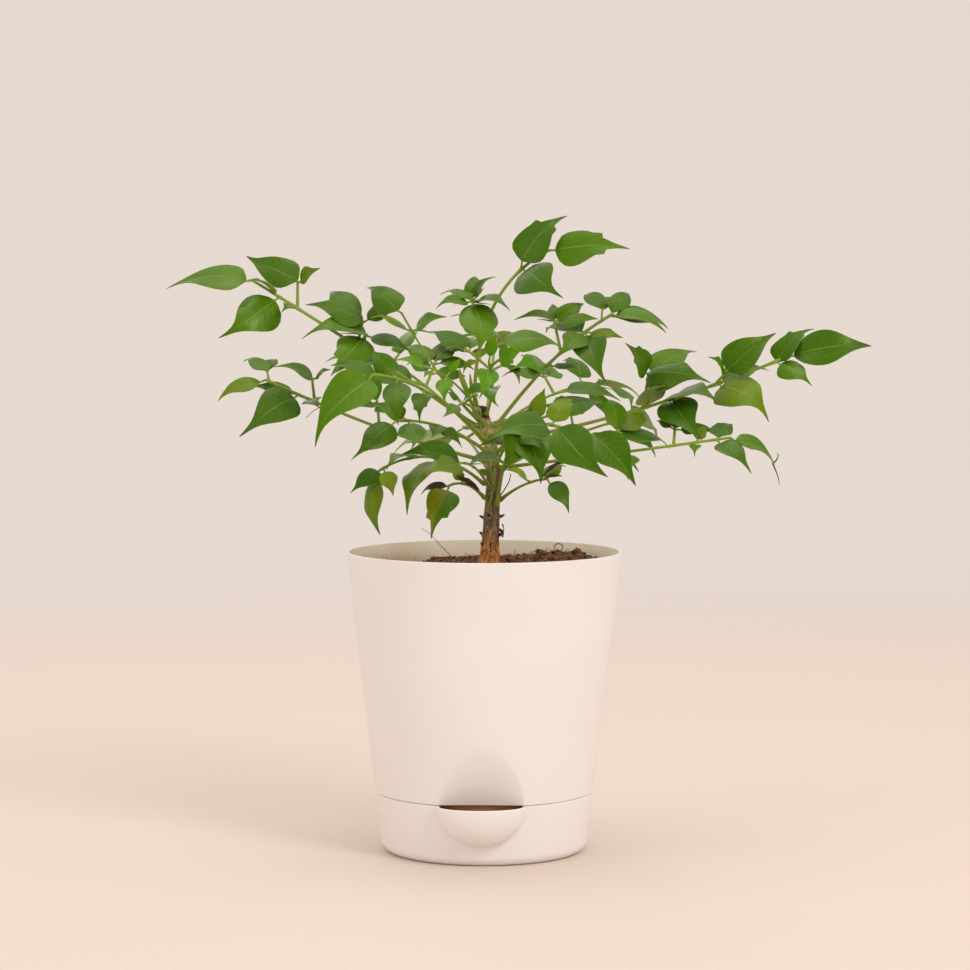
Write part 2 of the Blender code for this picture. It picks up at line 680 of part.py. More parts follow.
def frond_growth(frond):
    # Every side stalk with its leaflets, then the end leaflet, from the frond's seed.
    if "sprigs" in frond:
        return measured_growth(frond)
    rng = random.Random(frond["seed"])
    curve = frond_curve(frond)
    growth = []
    for place, stalk, count, long in frond["pairs"]:
        spot = along(curve, place)
        axis = heading(curve, place)
        face = facing(axis, frond["roll"])
        side = face.cross(axis).normalized()
        for hand in (-1, 1):
            spread = math.radians(frond["spread"] + rng.uniform(-9, 9))
            way = axis * math.cos(spread) + side * hand * math.sin(spread)
            way = (way + LIFT).normalized()
            if count > 1 and side.z * hand < 0:
                # The lower hand of a branched pair carries one larger leaflet.
                growth.append(pinna(spot, way, face, 0.3 * stalk, 1, 1.15 * long, frond["droop"], rng))
            else:
                growth.append(pinna(spot, way, face, stalk, count, long, frond["droop"], rng))
    axis = heading(curve, 1.0)
    end = make_leaf(
        along(curve, 1.0), axis, facing(axis, 0.0), PETIOLULE, frond["end"], frond["droop"], rng)
    return growth + [[end]]


def tree_of(bm):
    return BVHTree.FromBMesh(bm)


def touches(leaf, blockers):
    bm = bmesh.new()
    add_leaf(bm, leaf, GUARD)
    tree = tree_of(bm)
    bm.free()
    return any(tree.overlap(blocker) for blocker in blockers)


def sound_body(mesh):
    # Keeps the largest closed shell, so a loose scrap goes and a sealed hollow is filled.
    bm = bmesh.new()
    bm.from_mesh(mesh)
    bmesh.ops.triangulate(bm, faces=bm.faces)
    seen = set()
    shells = []
    for first in bm.verts:
        if first in seen:
            continue
        seen.add(first)
        shell = [first]
        for vert in shell:
            for edge in vert.link_edges:
                other = edge.other_vert(vert)
                if other not in seen:
                    seen.add(other)
                    shell.append(other)
        shells.append(shell)
    shells.sort(key=len, reverse=True)
    loose = [vert for shell in shells[1:] for vert in shell]
    bmesh.ops.delete(bm, geom=loose, context="VERTS")
    bm.to_mesh(mesh)
    bm.free()


def rachis(name, frond, collection):
    # The stem of a mass, from the tip of its bough to the end leaflet.
    curve = frond_curve(frond)
    start = bough_end(frond) + 1.3 * GAP / (curve[2] - curve[0]).length
    places = [start + (1 - start) * i / (RACHIS_RINGS - 1) for i in range(RACHIS_RINGS)]
    points = [along(curve, place) for place in places]
    radii = [stalk_radius(frond, place) for place in places]
    stem = limb(name, points, radii, 4, collection, None)
    bpy.context.view_layer.update()
    return add_object(name, welded_mesh(stem, name), collection)


def make_mass(name, frond, mass, blockers, work, finish):
    kept = 0
    skipped = 0
    for leaves in frond_growth(frond):
        if touches(leaves[0], blockers):
            skipped += len(leaves)
            continue
        fits = leaves[:1] + [leaf for leaf in leaves[1:] if not touches(leaf, blockers)]
        skipped += len(leaves) - len(fits)
        kept += len(fits)
        for leaf in fits:
            bm = bmesh.new()
            add_leaf(bm, leaf)
            add_object("leaf", mesh_from(bm, "leaf"), work)
    join = mass.modifiers.new("join", "BOOLEAN")
    join.operation = "UNION"
    join.operand_type = "COLLECTION"
    join.collection = work
    join.solver = "MANIFOLD"
    joined = evaluated_mesh(mass)
    joined.name = mass.name
    mass.modifiers.clear()
    mass.data = joined
    for obj in list(work.objects):
        bpy.data.objects.remove(obj, do_unlink=True)
    sound_body(joined)
    joined.materials.clear()
    joined.materials.append(finish)
    print(name, "leaflets", kept, "skipped", skipped, "triangles", len(joined.polygons))


def tree_of_object(obj):
    bm = bmesh.new()
    mesh = evaluated_mesh(obj)
    bm.from_mesh(mesh)
    tree = tree_of(bm)
    bm.free()
    bpy.data.meshes.remove(mesh)
    return tree


def main():
    clear_scene()
    parts = new_collection("potted_china_doll")
    cutters = new_collection("cutters")
    work = new_collection("mass_pieces")
    plastic = material("pot_plastic", (0.82, 0.76, 0.70), 0.38)
    mix = material("potting_mix", (0.05, 0.025, 0.015), 0.95)
    bark = material("bark", (0.22, 0.13, 0.07), 0.85)
    stalk = material("green_stalk", (0.22, 0.33, 0.06), 0.5)
    green = material("leaf_green", (0.07, 0.20, 0.02), 0.4)
    pot_parts = [make_tray(parts, cutters, plastic), make_pot(parts, cutters, plastic)]
    pot_parts.append(make_soil(parts, cutters, mix))
    trunk = make_trunk(parts, bark)
    boughs = {name: make_bough(name, frond, parts, stalk) for name, frond in FRONDS.items()}
    bpy.context.view_layer.update()
    masses = {name: rachis(f"foliage_{name}", frond, parts) for name, frond in FRONDS.items()}
    fixed = [tree_of_object(obj) for obj in pot_parts + [trunk] + list(boughs.values())]
    grown_so_far = {name: tree_of_object(mass) for name, mass in masses.items()}
    for name, frond in FRONDS.items():
        others = [tree for other, tree in grown_so_far.items() if other != name]
        make_mass(name, frond, masses[name], fixed + others, work, green)
        grown_so_far[name] = tree_of_object(masses[name])
    bpy.data.collections.remove(work)


main()
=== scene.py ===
# Potted china doll plant: the looks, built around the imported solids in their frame, in metres.
import math
import random

import bmesh
import bpy
import numpy as np
from mathutils import Matrix, Vector, noise
from mathutils.bvhtree import BVHTree


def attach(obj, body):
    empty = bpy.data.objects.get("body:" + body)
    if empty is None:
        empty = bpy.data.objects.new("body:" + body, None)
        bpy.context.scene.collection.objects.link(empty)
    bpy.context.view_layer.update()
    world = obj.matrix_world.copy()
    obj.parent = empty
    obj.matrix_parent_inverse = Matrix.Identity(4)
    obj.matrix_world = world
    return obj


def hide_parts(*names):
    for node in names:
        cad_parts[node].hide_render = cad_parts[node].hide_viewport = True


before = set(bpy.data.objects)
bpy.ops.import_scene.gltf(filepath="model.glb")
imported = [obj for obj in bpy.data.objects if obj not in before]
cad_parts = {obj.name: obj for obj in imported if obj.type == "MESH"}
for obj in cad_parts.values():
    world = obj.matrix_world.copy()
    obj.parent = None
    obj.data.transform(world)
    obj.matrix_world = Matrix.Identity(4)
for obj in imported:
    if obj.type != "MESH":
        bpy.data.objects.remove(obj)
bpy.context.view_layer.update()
scene = bpy.context.scene
print("frame loaded:", len(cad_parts), "solids")

gap = 0.0003  # between neighbours, as in the solids

camera = {
    "across": 0.00036, "away": 1.3208, "high": 0.24406, "down": 3.671, "lens": 113.015,
    "focus": 3045.2, "middle": 485.0,  # the lens in pixels of the photo, and the photo's middle
}

studio = {
    "floorSize": 12.0,
    "floorTone": (222, 208, 198),
    "worldTone": (230, 218, 209),
    "worldPower": 1.0,
    "clearFrom": 0.40, "clearTo": 1.50, "aim": (0, 0, 0.14),
    "key": dict(spot=(1.15, -1.35, 1.45), size=0.8, power=16, tone=(255, 252, 249)),
    "fill": dict(spot=(-1.60, -1.10, 0.90), size=1.4, power=5, tone=(250, 244, 240)),
    "top": dict(spot=(0.00, 0.20, 1.90), size=1.2, power=8, tone=(255, 252, 250)),
    "back": dict(spot=(-0.60, 1.70, 1.10), size=1.2, power=3, tone=(250, 246, 244)),
}


# Finishes

def tone(red, green, blue):
    # A screen colour as the light value that a shader wants.
    parts = [value / 255 for value in (red, green, blue)]
    parts = [v / 12.92 if v <= 0.04045 else ((v + 0.055) / 1.055) ** 2.4 for v in parts]
    return (*parts, 1.0)


class Signal:
    # One socket of a material. Sums of signals add Math nodes.

    def __init__(self, tree, socket=None):
        self.tree = tree
        self.socket = socket

    def node(self, kind, settings=None, values=None, out=0):
        made = self.tree.nodes.new("ShaderNode" + kind)
        for name, value in (settings or {}).items():
            setattr(made, name, value)
        for name, value in (values or {}).items():
            if isinstance(value, Signal):
                self.tree.links.new(value.socket, made.inputs[name])
            else:
                made.inputs[name].default_value = value
        if isinstance(out, tuple):
            return [Signal(self.tree, made.outputs[name]) for name in out]
        return Signal(self.tree, made.outputs[out])

    def maths(self, operation, *terms):
        return self.node("Math", {"operation": operation}, dict(enumerate(terms)))

    def __add__(self, other):
        return self.maths("ADD", self, other)

    __radd__ = __add__

    def __sub__(self, other):
        return self.maths("SUBTRACT", self, other)

    def __rsub__(self, other):
        return self.maths("SUBTRACT", other, self)

    def __mul__(self, other):
        return self.maths("MULTIPLY", self, other)

    __rmul__ = __mul__

    def __abs__(self):
        return self.maths("ABSOLUTE", self)


def ease(value, low, high):
    return value.node(
        "MapRange", {"interpolation_type": "SMOOTHSTEP"}, {"Value": value, "From Min": low, "From Max": high})


def blend(factor, first, second):
    return factor.node("Mix", {"data_type": "RGBA"}, {0: factor, 6: first, 7: second}, out=2)


def grain(place, scale, detail=3.0, rough=0.5):
    return place.node("TexNoise", None, {"Vector": place, "Scale": scale, "Detail": detail, "Roughness": rough})


def stretched(place, scale):
    return place.node("Mapping", None, {"Vector": place, "Scale": scale})


def relief(height, distance, strength=1.0):
    return height.node("Bump", None, {"Strength": strength, "Distance": distance, "Height": height})


def newFinish(name):
    # A material, a place on the piece that wears it, and its shader.
    made = bpy.data.materials.new(name)
    made.use_nodes = True
    place = Signal(made.node_tree).node("TexCoord", out="Object")
    return made, place, made.node_tree.nodes["Principled BSDF"]


def dress(shader, **inputs):
    # "baseColor" feeds "Base Color", and so on.
    for name, value in inputs.items():
        plug = "".join(" " + letter if letter.isupper() else letter for letter in name).title()
        plug = {"Specular Ior Level": "Specular IOR Level"}.get(plug, plug)
        if isinstance(value, Signal):
            value.tree.links.new(value.socket, shader.inputs[plug])
        else:
            shader.inputs[plug].default_value = value


plasticLook = {"cloud": 22, "wear": 160, "skin": 2600, "skinDeep": 0.00002, "rough": 0.40}


def plasticFinish(name, low, high):
    # Warm white moulded plastic, matt satin.
    made, place, shader = newFinish(name)
    look = plasticLook
    colour = blend(grain(place, look["cloud"], 4), tone(*low), tone(*high))
    skin = grain(place, look["skin"], 2)
    dress(shader, baseColor=colour, roughness=look["rough"] + 0.08 * grain(place, look["wear"], 3),
          normal=relief(skin, look["skinDeep"], 0.35))
    return made


insideLook = {
    "leftSide": (-0.050, -0.006), "tide": (0.1195, 0.1285), "brownBandWave": 0.0045, "browned": 0.86,
    "specks": 700, "speckSize": (0.64, 0.69), "speckTop": (0.1215, 0.1285), "rough": 0.46,
}


def insideFinish(name, low, high, brownTone, dirt):
    # The inside of the pot, given colours brighter and creamier than the outside plastic as painted light
    # against the shade inside; browner and darker below a wavy band near the mix, most of all on the left, with
    # crumbs, most of them on the left.
    made, place, shader = newFinish(name)
    look = insideLook
    x, z = place.node("SeparateXYZ", None, {0: place}, out=("X", "Z"))
    left = 1 - ease(x, *look["leftSide"])
    height = z + (grain(place, 70, 5, 0.65) - 0.5) * look["brownBandWave"]
    colour = blend(grain(place, 30, 4), tone(*low), tone(*high))
    # browner and darker below a wavy band near the mix, most of all on the left
    colour = blend((1 - ease(height, *look["tide"])) * (0.06 + look["browned"] * left), colour, tone(*brownTone))
    speck = ease(grain(place, look["specks"], 2, 0.6), *look["speckSize"])
    speck = speck * (1 - ease(height, *look["speckTop"]))
    colour = blend(speck * (0.4 + 0.6 * left), colour, tone(*dirt))
    dress(shader, baseColor=colour, roughness=look["rough"] + 0.10 * grain(place, 160, 3),
          normal=relief(speck, 0.0002, 0.6))
    return made


leafLook = {
    "veins": 9.0, "sweep": 0.20, "sideVein": (0.78, 1.0), "veinEnd": (0.55, 0.90), "midrib": (0.015, 0.055),
    "net": 900, "patch": 95, "light": 1.22, "dark": 0.80, "tip": (0.90, 0.985), "halfAcross": (0.40, 0.62),
    "above": {"vein": 0.04, "midrib": 0.32, "coat": 0.24},
    "below": {"vein": 0.40, "midrib": 0.80, "coat": 0.0},
    "sheen": (0.42, 0.66), "tint": (0.80, 1.0, 0.16, 1.0), "glow": (0.4, 1.0, 0.1),
}


def leafFinish(name, top, vein, rough=0.36, tip=None, below=False, edge=None):
    # The leaf's own UV map: U from edge to edge across, V from stalk to tip.
    made, place, shader = newFinish(name)
    look = leafLook
    shown = look["below" if below else "above"]
    chart = place.node("UVMap", {"uv_map": "leaf"})
    u, v = chart.node("SeparateXYZ", None, {0: chart}, out=("X", "Y"))
    across = abs(u - 0.5) * 2
    # side veins sweep forward from the midrib
    sweep = (v - across * look["sweep"]) * look["veins"]
    ridge = abs(sweep.maths("FRACT", sweep) - 0.5) * 2
    sideVein = ease(ridge, *look["sideVein"]) * (1 - ease(across, *look["veinEnd"]))
    net = grain(place, look["net"], 3, 0.6)
    midrib = 1 - ease(across, *look["midrib"])
    patch = grain(place, look["patch"], 3)
    light = tuple(min(1.0, part * look["light"]) for part in tone(*top)[:3]) + (1.0,)
    dark = tuple(part * look["dark"] for part in tone(*top)[:3]) + (1.0,)
    colour = blend(patch, dark, light)
    if edge:
        spread = grain(place, 160, 3)
        colour = blend(ease(u + (spread - 0.5) * 0.5, *look["halfAcross"]), tone(*edge), colour)
    colour = blend(sideVein * shown["vein"], colour, tone(*vein))
    colour = blend(midrib * shown["midrib"], colour, tone(*vein))
    if tip:
        colour = blend(ease(v, *look["tip"]), colour, tone(*tip))
    if below:
        height = sideVein * 0.9 + midrib * 1.6 + net * 0.15
    else:
        height = net * 0.07 - sideVein * 0.3 - midrib * 1.1 + (1 - ridge) * 0.4
    sheen = ease(grain(place, 60, 2), *look["sheen"])
    dress(shader, baseColor=colour, roughness=rough + 0.10 * patch, normal=relief(height, 0.00012, 0.8),
          specularIorLevel=0.34, specularTint=look["tint"],
          coatWeight=sheen * shown["coat"], coatRoughness=0.28,
          subsurfaceWeight=0.12, subsurfaceScale=0.0016, subsurfaceRadius=look["glow"])
    return made


def stalkFinish(name, young, old):
    made, place, shader = newFinish(name)
    streak = grain(place, 260, 4, 0.6)
    blotch = grain(place, 60, 3)
    colour = blend(ease(blotch, 0.38, 0.66), tone(*young), tone(*old))
    colour = blend(ease(streak, 0.60, 0.74) * 0.4, colour, tone(116, 108, 44))
    dress(shader, baseColor=colour, roughness=0.42, specularIorLevel=0.4, normal=relief(streak, 0.00012, 0.5))
    return made


barkLook = {
    "foot": ((140, 76, 34), (236, 162, 86)), "footFleck": (58, 34, 20), "footTop": (0.1335, 0.1400),
    "middle": ((84, 66, 44), (176, 152, 112)), "middleTop": (0.1600, 0.1760),
    "upper": ((112, 112, 58), (182, 174, 106)),
    "scar": (44, 30, 22), "scarLow": (0.1275, 0.1300), "scarHigh": (0.1480, 0.1560),
    "red": (96, 56, 36), "redAcross": (0.0028, 0.0062), "redLow": (0.1300, 0.1360), "redHigh": (0.168, 0.178),
    "cut": (70, 40, 30), "cutLow": (0.1882, 0.1894),
}


def barkFinish(name):
    # Corky orange foot, scarred brown middle, olive top under the cut.
    made, place, shader = newFinish(name)
    look = barkLook
    x, z = place.node("SeparateXYZ", None, {0: place}, out=("X", "Z"))
    wobble = grain(place, 190, 3)
    height = z + (wobble - 0.5) * 0.010
    fibres = grain(stretched(place, (1.0, 1.0, 0.16)), 1500, 5, 0.65)
    flecks = grain(stretched(place, (1.0, 1.0, 0.45)), 900, 4, 0.6)
    foot = blend(ease(fibres, 0.36, 0.66), tone(*look["foot"][0]), tone(*look["foot"][1]))
    foot = blend(ease(flecks, 0.60, 0.70), foot, tone(*look["footFleck"]))
    middle = blend(ease(fibres, 0.34, 0.68), tone(*look["middle"][0]), tone(*look["middle"][1]))
    upper = blend(ease(flecks, 0.36, 0.64), tone(*look["upper"][0]), tone(*look["upper"][1]))
    colour = blend(ease(height, *look["footTop"]), foot, middle)
    colour = blend(ease(height, *look["middleTop"]), colour, upper)
    scar = ease(grain(place, 420, 3, 0.55), 0.58, 0.66) * ease(height, *look["scarLow"])
    colour = blend(scar * (1 - ease(height, *look["scarHigh"])), colour, tone(*look["scar"]))
    # the right side is redder and darker up to the lowest leaves
    red = ease(x + (wobble - 0.5) * 0.004, *look["redAcross"]) * (1 - ease(height, *look["redHigh"])) * 0.75
    colour = blend(red * ease(height, *look["redLow"]), colour, tone(*look["red"]))
    colour = blend(ease(z + (wobble - 0.5) * 0.003, *look["cutLow"]), colour, tone(*look["cut"]))
    dress(shader, baseColor=colour, roughness=0.72 + 0.2 * fibres,
          normal=relief(fibres * 0.8 + flecks * 0.5, 0.0006, 0.9))
    return made


def mixFinish(name, dark, pale, scale=420):
    made, place, shader = newFinish(name)
    crumb = grain(place, scale, 5, 0.65)
    colour = blend(ease(crumb, 0.35, 0.68), tone(*dark), tone(*pale))
    dress(shader, baseColor=colour, roughness=0.88, normal=relief(crumb, 0.0012, 1.0))
    return made


potWhite = plasticFinish("potWhite", (234, 231, 229), (241, 239, 238))
# the inside of the pot is painted brighter and creamier than the outside: painted light against the shade
# inside
potInsideLit = insideFinish("potInsideLit", (255, 244, 220), (255, 249, 232), (204, 158, 94), (70, 44, 28))
trayInside = plasticFinish("trayInside", (176, 130, 80), (198, 154, 104))
leafTops = {
    "deep": leafFinish("leafDeep", (54, 94, 4), (132, 164, 70), 0.34, (92, 72, 44)),
    "mid": leafFinish("leafMid", (70, 110, 4), (146, 176, 76), 0.36, (96, 84, 40)),
    "cool": leafFinish("leafCool", (60, 98, 18), (134, 160, 84), 0.36, (84, 76, 50)),
    "warm": leafFinish("leafWarm", (92, 118, 6), (158, 176, 74), 0.38, (110, 88, 40)),
    "young": leafFinish("leafYoung", (80, 132, 4), (150, 190, 60), 0.20),
    "pale": leafFinish("leafPale", (128, 152, 28), (184, 194, 90), 0.40, (150, 118, 50)),
    "dry": leafFinish("leafDry", (44, 28, 18), (70, 46, 30), 0.60),
    "half": leafFinish("leafHalf", (74, 120, 12), (160, 176, 60), 0.34, (96, 84, 40), edge=(120, 130, 18)),
    "scorched": leafFinish("leafScorched", (92, 116, 34), (150, 160, 80), 0.40, (150, 82, 34)),
}
leafUnder = leafFinish("leafUnder", (116, 144, 62), (156, 164, 96), 0.55, below=True)
youngUnder = leafFinish("youngUnder", (128, 170, 50), (176, 200, 100), 0.50, below=True)
stalkGreen = stalkFinish("stalkGreen", (122, 148, 34), (142, 144, 42))
twigGreen = stalkFinish("twigGreen", (128, 158, 38), (118, 142, 34))
barkBrown = barkFinish("barkBrown")
spurBrown = mixFinish("spurBrown", (38, 28, 24), (98, 70, 44), 900)
moistMix = mixFinish("moistMix", (62, 37, 24), (134, 84, 52))
crumbDark = mixFinish("crumbDark", (52, 32, 22), (112, 70, 44))
crumbRed = mixFinish("crumbRed", (110, 64, 38), (166, 106, 66))
fibreTan = mixFinish("fibreTan", (124, 82, 50), (192, 146, 98), 600)
print("finishes ready")


# Modelling helpers

def deselectAll():
    if bpy.context.mode != "OBJECT":
        bpy.ops.object.mode_set(mode="OBJECT")
    bpy.ops.object.select_all(action="DESELECT")


def pickAlone(piece):
    deselectAll()
    piece.select_set(True)
    bpy.context.view_layer.objects.active = piece


def selectWhere(piece, test):
    # In edit mode, with the vertices chosen by their place.
    bpy.context.view_layer.objects.active = piece
    if bpy.context.mode != "EDIT_MESH":
        bpy.ops.object.mode_set(mode="EDIT")
    bpy.ops.mesh.select_mode(type="VERT")
    bpy.ops.mesh.select_all(action="DESELECT")
    work = bmesh.from_edit_mesh(piece.data)
    for vert in work.verts:
        vert.select = test(vert.co)
    work.select_flush(True)
    bmesh.update_edit_mesh(piece.data)


def faceOutwards():
    # The end of an edit: every face of the closed piece points out.
    bpy.ops.mesh.select_all(action="SELECT")
    bpy.ops.mesh.normals_make_consistent(inside=False)
    bpy.ops.object.mode_set(mode="OBJECT")


def smooth(piece, angle=40):
    pickAlone(piece)
    bpy.ops.object.shade_smooth_by_angle(angle=math.radians(angle))


def finishPiece(piece, name, slot, nodes, *finishes):
    # Name, materials, body and the solids that the piece stands for. Each face keeps its finish.
    deselectAll()
    piece.name = name
    piece.data.name = name
    marks = [face.material_index for face in piece.data.polygons]
    piece.data.materials.clear()
    for finish in finishes:
        piece.data.materials.append(finish)
    piece.data.polygons.foreach_set("material_index", marks)
    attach(piece, "root")
    if nodes:
        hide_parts(*nodes)
    print(name, len(piece.data.polygons), "faces")


def drawUp(stations):
    # The rim of a disc is extruded and sized through the stations (x, height, radius), then closed.
    bpy.ops.object.mode_set(mode="EDIT")
    bpy.ops.mesh.select_mode(type="EDGE")
    bpy.ops.mesh.select_all(action="SELECT")
    bpy.ops.mesh.region_to_loop()
    for (oldX, oldHeight, oldRadius), (x, height, radius) in zip(stations, stations[1:]):
        bpy.ops.mesh.extrude_edges_move(TRANSFORM_OT_translate={"value": (x - oldX, 0, height - oldHeight)})
        size = radius / oldRadius
        bpy.ops.transform.resize(value=(size, size, 1), center_override=(x, 0, height))
    bpy.ops.mesh.edge_face_add()


def turnRings(rings, angles):
    # A vessel drawn up through rings of (radius, height), between a disc at each end.
    deselectAll()
    radius, height = rings[0]
    bpy.ops.mesh.primitive_circle_add(
        vertices=len(angles), radius=radius, fill_type="TRIFAN", location=(0, 0, 0))
    piece = bpy.context.active_object
    for vert in piece.data.vertices:
        vert.co.z = height
        if vert.co.xy.length > radius / 2:
            turn = angles[vert.index % len(angles)]
            vert.co.x = radius * math.cos(turn)
            vert.co.y = radius * math.sin(turn)
    drawUp([(0, height, radius) for radius, height in rings])
    bpy.ops.mesh.poke()
    faceOutwards()
    return piece


def drawTubes(name, paths, sides, slot, finish, nodes=()):
    # Every path is a list of (place, radius). One curve holds them all and is made a mesh.
    curve = bpy.data.curves.new(name, "CURVE")
    curve.dimensions = "3D"
    curve.bevel_depth = 1.0
    curve.bevel_resolution = sides // 2 - 2
    curve.use_fill_caps = True
    for path in paths:
        spline = curve.splines.new("POLY")
        spline.points.add(len(path) - 1)
        for point, (place, radius) in zip(spline.points, path):
            point.co = (*place, 1.0)
            point.radius = radius
    piece = bpy.data.objects.new(name, curve)
    scene.collection.objects.link(piece)
    pickAlone(piece)
    bpy.ops.object.convert(target="MESH")
    piece = bpy.context.active_object
    bpy.ops.object.mode_set(mode="EDIT")
    bpy.ops.mesh.select_all(action="SELECT")
    bpy.ops.mesh.remove_doubles(threshold=0.000002)
    faceOutwards()
    smooth(piece, 60)
    finishPiece(piece, name, slot, nodes, finish)


def meshFromArrays(name, places, faces, marks, chart=None):
    data = bpy.data.meshes.new(name)
    data.from_pydata(places.tolist(), [], faces)
    data.polygons.foreach_set("material_index", marks)
    if chart is not None:
        layer = data.uv_layers.new(name="leaf")
        layer.data.foreach_set("uv", np.asarray(chart, np.float32).ravel())
    data.validate()
    data.update()
    piece = bpy.data.objects.new(name, data)
    scene.collection.objects.link(piece)
    return piece


def within(value):
    return max(0.0, min(1.0, value))


def softer(first, second, room):
    # The larger of two radii, rounded where they cross.
    mix = within(0.5 + 0.5 * (first - second) / room)
    return second * (1 - mix) + first * mix + room * mix * (1 - mix)


# Pot and tray

potShape = {
    "rimRadius": 0.0600, "height": 0.1306, "baseRadius": 0.0444, "seam": 0.0260,
    "wall": 0.0018, "rimWall": 0.0014, "edge": 0.0006, "lip": 0.0005, "floor": 0.0020,
    "plugInset": 0.0062, "plugBottom": 0.0060, "plugRound": 0.0020, "ledge": 0.0020, "step": 0.0040,
    "fine": 0.0004, "closer": 0.0600,  # the rings' spacing outside, and where they lie closer inside
    "dentX": -0.0014, "dentHalf": 0.0186, "dentHigh": 0.0265, "dentDeep": 0.0047, "dentSoft": (0.04, 0.45),
}
trayShape = {
    "floor": 0.0022, "footRound": 0.0045, "footSteps": 8, "edge": 0.0004,
    "wallFoot": 0.0035, "lean": 0.0022, "corner": ((0.0040, 0.0008), (0.0055, 0.0)),
    "scoopCentre": (-0.0014, -0.0450, 0.0260), "scoopSize": (0.0192, 0.0122, 0.0172),
    "scoopWall": 0.0015, "scoopRound": 0.0011, "scoopLow": 0.0075, "scoopBand": 0.0046,
    "brownTop": 0.0008,
}
ahead = -0.02  # the scoop and the hollow lie in front of this y


def outerRadius(z):
    return potShape["baseRadius"] + (potShape["rimRadius"] - potShape["baseRadius"]) * z / potShape["height"]


def innerRadius(z):
    top = potShape["height"] - potShape["lip"]
    low = potShape["seam"] + potShape["ledge"] + potShape["step"]
    rim = potShape["rimRadius"] - potShape["rimWall"]
    wide = outerRadius(low) - potShape["wall"]
    return wide + (rim - wide) * (z - low) / (top - low)


def plugInside(z):
    return outerRadius(z) - potShape["plugInset"] - potShape["wall"]


def frontAngles(fine=132, coarse=108, half=33):
    # Directions round the pot, closer together at the front, where the scoop is.
    start = math.radians(-90 - half)
    span = math.radians(2 * half)
    front = [start + span * i / fine for i in range(fine)]
    rest = [start + span + (2 * math.pi - span) * i / coarse for i in range(coarse)]
    return front + rest


def dentDepth(x, z):
    # The hollow above the scoop: deepest at the seam, fading upwards and to the left.
    across = (x - potShape["dentX"]) / potShape["dentHalf"]
    up = max(0.0, (z - potShape["seam"]) / potShape["dentHigh"])
    deep = max(0.0, 1 - across ** 2 - up ** 1.8)
    low, rise = potShape["dentSoft"]
    soft = (low + rise * up) * (1.25 - max(-1.0, min(1.0, across)))
    return potShape["dentDeep"] * deep * deep / (deep + soft)


def reach(x, y, z, centre, size):
    # How far from the axis, in the direction of (x, y), an ellipsoid's far side lies.
    out = math.hypot(x, y)
    ux, uy = x / out, y / out
    high = ((z - centre[2]) / size[2]) ** 2
    a = (ux / size[0]) ** 2 + (uy / size[1]) ** 2
    b = -2 * (ux * centre[0] / size[0] ** 2 + uy * centre[1] / size[1] ** 2)
    c = (centre[0] / size[0]) ** 2 + (centre[1] / size[1]) ** 2 + high - 1
    inside = b * b - 4 * a * c
    if inside <= 0 or uy > 0:
        return None
    return (-b + math.sqrt(inside)) / (2 * a)


def makePot():
    s = potShape
    seat = s["seam"] + gap
    top = s["height"]
    edge = s["edge"]
    rim = outerRadius(top)
    ledge = s["seam"] + s["ledge"]
    low = ledge + s["step"]
    plugTop = outerRadius(seat) - s["plugInset"]
    plugLow = outerRadius(s["plugBottom"]) - s["plugInset"]
    rings = [(plugLow - s["plugRound"], s["plugBottom"]), (plugLow, s["plugBottom"] + s["plugRound"])]
    rings += [(plugTop, seat)]
    rings += [(plugTop + (outerRadius(seat) - plugTop) * i / 12, seat) for i in range(1, 13)]
    heights = [seat + s["fine"] * i for i in range(1, 70)]
    heights += [heights[-1] + (top - edge - heights[-1]) * i / 14 for i in range(1, 15)]
    rings += [(outerRadius(z), z) for z in heights]
    rings += [
        (rim - edge + edge * math.cos(turn), top - edge + edge * math.sin(turn))
        for turn in (0.4, 0.8, 1.2, 1.57)
    ]
    rings += [(rim - s["rimWall"] + 0.0002, top - 0.0001)]
    heights = [top - s["lip"] - (top - s["lip"] - s["closer"]) * i / 10 for i in range(11)]
    heights += [s["closer"] - (s["closer"] - low) * i / 20 for i in range(1, 21)]
    rings += [(innerRadius(z), z) for z in heights]
    rings += [(plugInside(ledge), ledge), (plugInside(s["plugBottom"]), s["plugBottom"] + s["floor"])]
    pot = turnRings(rings, frontAngles())
    for vert in pot.data.vertices:
        x, y, z = vert.co
        out = math.hypot(x, y)
        onLedge = abs(z - seat) < 0.00002 and out > plugTop - 0.00001
        onWall = z > seat and out > innerRadius(z) - 0.0001
        if y > ahead or not (onLedge or onWall):
            continue
        depth = dentDepth(x, z)
        if onLedge:
            depth *= (out - plugTop) / (outerRadius(seat) - plugTop)
        vert.co.x *= 1 - depth / out
        vert.co.y *= 1 - depth / out
    smooth(pot, 45)
    # faces below the seat, inside the tray, wear the tray's darker brown inside finish
    for face in pot.data.polygons:
        middle = face.center
        inward = middle.x * face.normal.x + middle.y * face.normal.y < 0
        face.material_index = 1 if inward and middle.z > low else 2 if middle.z < seat - 0.00001 else 0
    finishPiece(pot, "potShell", "pot_plastic", ["pot"], potWhite, potInsideLit, trayInside)


